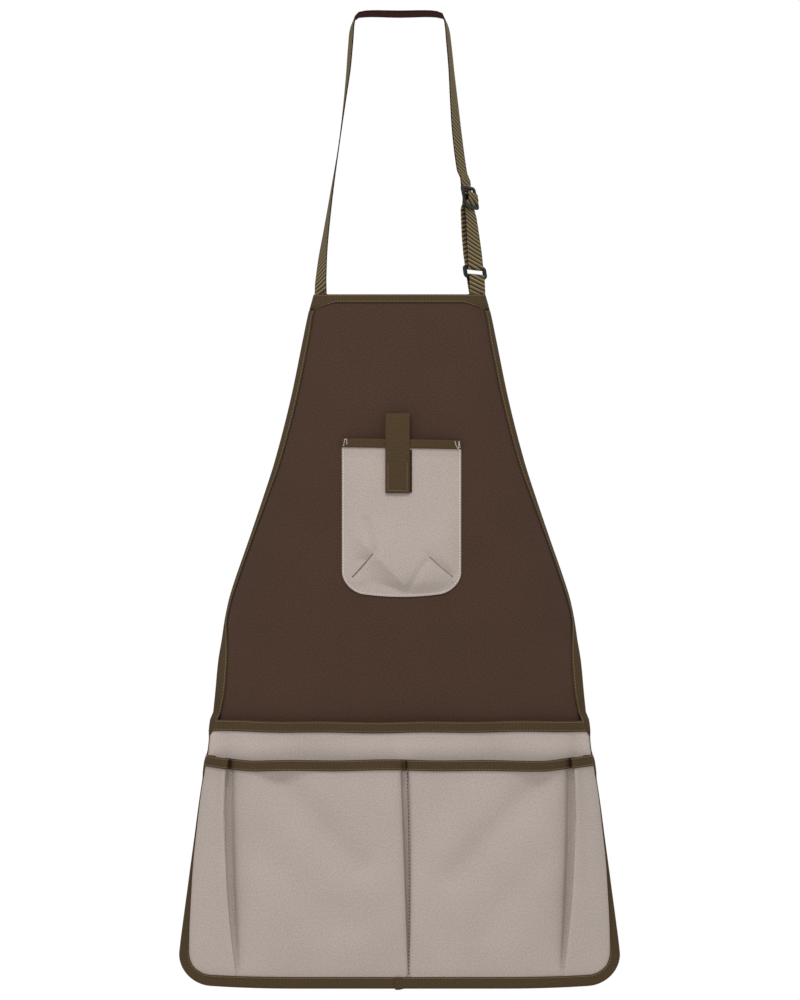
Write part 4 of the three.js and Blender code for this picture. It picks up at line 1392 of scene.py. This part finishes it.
def seam_line(spots):
    """Points and ways out of the cloth from places on the body."""
    return [(on_body(s, z, n), on_body(s, z, n + 1) - on_body(s, z, n)) for s, z, n in spots]


olive_thread = thread_material("olive_thread", linear(122, 106, 80))
white_thread = thread_material("white_thread", linear(226, 219, 208))
grey_thread = thread_material("grey_thread", linear(196, 186, 176))
# The dark thread is also painted shadow where it runs down the middle pleat.
dark_thread_and_painted_shadow = thread_material("dark_thread_and_painted_shadow", linear(60, 34, 26))

BIB_SEAM_STEPS = 60
PLEAT_STEPS = 40
DIVIDER_STEPS = 12
tape_inset = EDGE_TAPE - STITCH_INSET
for side, word in ((-1, "left"), (1, "right")):
    spots = []
    for s, z, in_s, in_z, _ in edge_stations(0):
        n = edge_stack(z) + SLACK + TAPE + STITCH_RISE
        spots.append((side * (s + in_s * tape_inset), z + in_z * tape_inset, n))
    stitch_seam("edge_stitches_" + word, seam_line(spots), olive_thread, "olive_tape")

for name, drop_at in (("bib_stitches", 1), ("bib_top_stitches", 0)):
    spots = []
    for s in between(STITCH_INSET - bib_half, bib_half - STITCH_INSET, BIB_SEAM_STEPS):
        z = BIB_TOP - STITCH_INSET - (bib_reach(s) - 2 * STITCH_INSET) * drop_at
        spots.append((s, z, CLOTH + FOLD + STITCH_RISE))
    stitch_seam(name, seam_line(spots), olive_thread, "olive_tape")


def mouth_seam(mouth, profile_at, settle, drop):
    """The line of a seam on the tape of a mouth, a drop below its top."""
    z = mouth - drop
    line = behind(profile_at, z, -FOLD - STITCH_RISE)[2 * FINE_STEPS : -2 * FINE_STEPS]
    return seam_line([(s, z + settle(s, mouth), n) for s, n in line])


for drop, row in ((STITCH_INSET, "top"), (MOUTH_TAPE - STITCH_INSET, "foot")):
    seam = mouth_seam(UPPER_MOUTH, upper_profile, upper_settle, drop)
    stitch_seam("upper_stitches_" + row, seam, olive_thread, "olive_tape")
    seam = mouth_seam(LOWER_MOUTH, lower_profile, end_settle, drop)
    stitch_seam("lower_stitches_" + row, seam, olive_thread, "olive_tape")


def at_pleat(word, z, out):
    """Where the bottom of a pleat lies along the cloth, and a place that far out from it."""
    return behind(lower_profile, z, -out)[(PLEATS[word] + FOLD_FROM) * FINE_STEPS]


# How far these seams stay clear of the mouths' tapes, of the hem's tape and of the front mouth
SEAM_CLEAR = 1
HEM_CLEAR = 2
MOUTH_CLEAR = 4
pleat_top = LOWER_MOUTH - MOUTH_TAPE - SEAM_CLEAR
pleat_foot = PANEL_FOOT + EDGE_TAPE + HEM_CLEAR
for word in PLEATS:
    spots = []
    for z in between(pleat_top, pleat_foot, PLEAT_STEPS):
        s, n = at_pleat(word, z, STITCH_RISE)
        spots.append((s, z, n))
    # The middle pleat's stitches are dark to paint the shade at the bottom of its fold.
    thread = dark_thread_and_painted_shadow if word == "centre" else grey_thread
    stitch_seam("pleat_stitches_" + word, seam_line(spots), thread, "grey_cloth", **PLEAT_STITCH)

DIVIDER = DIVIDER_SHARE * HEM_WIDTH / 2
divider_top = UPPER_MOUTH - MOUTH_TAPE - SEAM_CLEAR
for side, word in ((-1, "left"), (1, "right")):
    spots = []
    for z in between(divider_top, LOWER_MOUTH + MOUTH_CLEAR, DIVIDER_STEPS):
        s = along_cloth(side * DIVIDER, z)
        nearest = min(upper_profile(z), key=lambda point: abs(point.x - s))
        spots.append((s, z, nearest.y + DIVIDER_RISE))
    seam = seam_line(spots)
    stitch_seam("divider_stitches_" + word, seam, grey_thread, "grey_cloth", **DIVIDER_STITCH)

BARTACK_WIDTH = 5
BARTACK_HEIGHT = MOUTH_TAPE - 1.5


def bartack(name, middle, out):
    """A patch of dense stitches that lie across a seam, one above another."""
    up = Vector((0, 0, 1))
    across = up.cross(out).normalized()
    rows = max(int(BARTACK_HEIGHT / (2 * THREAD)), 1)
    line = []
    for i in range(rows + 1):
        side = 1 if i % 2 else -1
        lift = up * BARTACK_HEIGHT * (i / rows - 0.5)
        line.append((middle + across * side * BARTACK_WIDTH / 2 + lift, out))
    stitch_seam(name, line, dark_thread_and_painted_shadow, "olive_tape", pitch=BARTACK_WIDTH)


for word in PLEATS:
    z = LOWER_MOUTH - MOUTH_TAPE / 2
    s, n = at_pleat(word, z, FOLD + THREAD)
    z += end_settle(s, LOWER_MOUTH)
    middle = on_body(s, z, n)
    bartack("bartack_" + word, middle, (on_body(s, z, n + 1) - middle).normalized())

CHEST_INSET = 1.9
CHEST_SIDE_STEPS = 40
CHEST_CORNER_STEPS = 12
CHEST_FOOT_STEPS = 40
DART_STEPS = 20
TAB_SIDE_STEPS = 12


def chest_edge():
    """The line just inside the chest pocket's edge, down one side, round its foot and up."""
    radius = CHEST_RADIUS - CHEST_INSET
    foot = CHEST_FOOT + CHEST_INSET
    half = CHEST_WIDTH / 2 - CHEST_INSET
    top = CHEST_MOUTH - FOLD
    right = [(half, z) for z in between(top, foot + radius, CHEST_SIDE_STEPS)]
    for turn in between(0, math.pi / 2, CHEST_CORNER_STEPS):
        right.append((half - radius * (1 - math.cos(turn)), foot + radius * (1 - math.sin(turn))))
    left = [(-across, z) for across, z in right]
    middle = between(left[-1][0], right[-1][0], CHEST_FOOT_STEPS)[1:-1]
    return left + [(across, foot) for across in middle] + right[::-1]


def on_chest(across, z, rise, below=0):
    """A place for thread, at a rise over the chest pocket's front or that of a place below it."""
    s = across + CHEST_SHIFT
    return s, z + chest_settle(s, z), chest_front(s, z - below) + rise


def between_corners(corners, steps):
    """Points on the straight lines from corner to corner, with so many steps on each."""
    pairs = zip(corners, corners[1:])
    return [start.lerp(end, share) for start, end in pairs for share in between(0, 1, steps)]


chest_seam = seam_line([on_chest(across, z, STITCH_RISE) for across, z in chest_edge()])
stitch_seam("chest_stitches", chest_seam, white_thread, "grey_cloth", **CHEST_STITCH)

# Thread loops at the corners of the mouth: across from the middle, and down from the mouth
LOOPS = {
    "left": ((-64, 9), (-62.5, 1), (-60.5, 0.6), (-60.2, 7)),
    "right": ((58.5, 1), (60, 6), (62.5, 10), (63.4, 1), (64.5, 9)),
}
for word, loop in LOOPS.items():
    spots = [on_chest(across, CHEST_MOUTH - drop, FOLD + THREAD, FOLD) for across, drop in loop]
    stitch_seam("loop_" + word, seam_line(spots), white_thread, "grey_cloth", pitch=LOOP_PITCH)

# Each dart's stitches are dark grey: a seam, darkened to paint the shade in the crease of the dart.
dart_thread_and_crease_shade = thread_material("dart_thread_and_crease_shade", linear(62, 54, 50))
for word, line in zip(("left", "right"), DARTS):
    places = between_corners(line, DART_STEPS)
    spots = [on_chest(across, CHEST_MOUTH - drop, DART_RISE) for across, drop in places]
    stitch_seam("dart_" + word, seam_line(spots), dart_thread_and_crease_shade, "grey_cloth", **DART_STITCH)

# Corners of the seam that holds the tab's hook side: across from its middle, and down
TAB_BOX = ((-10.6, 14), (-10.6, 57), (10.6, 57), (10.6, 14))
spots = []
for across, drop in between_corners([Vector(corner) for corner in TAB_BOX], TAB_SIDE_STEPS):
    z = CHEST_MOUTH - drop
    n = tab_front(z) - tab_curl(across) + TAPE / 2 + STITCH_RISE
    spots.append((TAB_SHIFT + across, z, n))
stitch_seam("tab_stitches", seam_line(spots), olive_thread, "olive_tape", pitch=TAB_PITCH)


# Camera and light: level with the middle of the apron and far off, as the photograph was taken, in
# soft even light from above and a little from the left, over a pale floor far below.
VIEW_MIDDLE = -539.5
VIEW_HEIGHT = 1110
VIEW_DISTANCE = 40000
VIEW_SIDE = 0.5
SENSOR = 24
FLOOR_DROP = 420
FLOOR_RADIUS = 4000
FLOOR_SIDES = 96
FLOOR_GREY = 0.9
SURROUND_LIGHT = 0.66
LIT_DEPTH = 150

floor_mesh = bmesh.new()
bmesh.ops.create_circle(
    floor_mesh,
    cap_ends=True,
    segments=FLOOR_SIDES,
    radius=FLOOR_RADIUS * MM,
    matrix=Matrix.Translation((0, 0, (HEM - FLOOR_DROP) * MM)),
)
pale_floor, floor_tree = new_material("pale_floor")
floor_finish = {"Base Color": (FLOOR_GREY, FLOOR_GREY, FLOOR_GREY, 1), "Roughness": FLOOR_GREY}
feed(floor_tree, floor_tree.nodes["Principled BSDF"], floor_finish)
finished("floor", floor_mesh, pale_floor)

scene = bpy.context.scene
scene.view_settings.view_transform = "Standard"
world = bpy.data.worlds.new("white_surround")
world.use_nodes = True
seen = world.node_tree.nodes.new("ShaderNodeLightPath").outputs["Is Camera Ray"]
glow = figured(world.node_tree, "MULTIPLY_ADD", seen, 1 - SURROUND_LIGHT, SURROUND_LIGHT)
surround = world.node_tree.nodes["Background"]
feed(world.node_tree, surround, {"Color": (1, 1, 1, 1), "Strength": glow})
scene.world = world


def soft_light(name, place, size, power):
    """A square lamp that is aimed at the middle of the apron."""
    light = bpy.data.lights.new(name, "AREA")
    light.energy = power
    light.size = size
    lamp = bpy.data.objects.new(name, light)
    lamp.location = place
    aim = Vector((0, -LIT_DEPTH * MM, VIEW_MIDDLE * MM)) - lamp.location
    lamp.rotation_euler = aim.to_track_quat("-Z", "Y").to_euler()
    scene.collection.objects.link(lamp)


soft_light("key", place=(-0.35, -2.4, 2.3), size=1.1, power=66)
soft_light("behind", place=(0.8, 2.6, 1.6), size=1.6, power=50)

camera_data = bpy.data.cameras.new("camera")
camera_data.sensor_fit = "VERTICAL"
camera_data.sensor_height = SENSOR
camera_data.lens = SENSOR * VIEW_DISTANCE / VIEW_HEIGHT
camera = bpy.data.objects.new("camera", camera_data)
camera.location = (VIEW_SIDE * MM, -(BODY_REACH + VIEW_DISTANCE) * MM, VIEW_MIDDLE * MM)
camera.rotation_euler = (math.pi / 2, 0, 0)
scene.collection.objects.link(camera)
scene.camera = camera
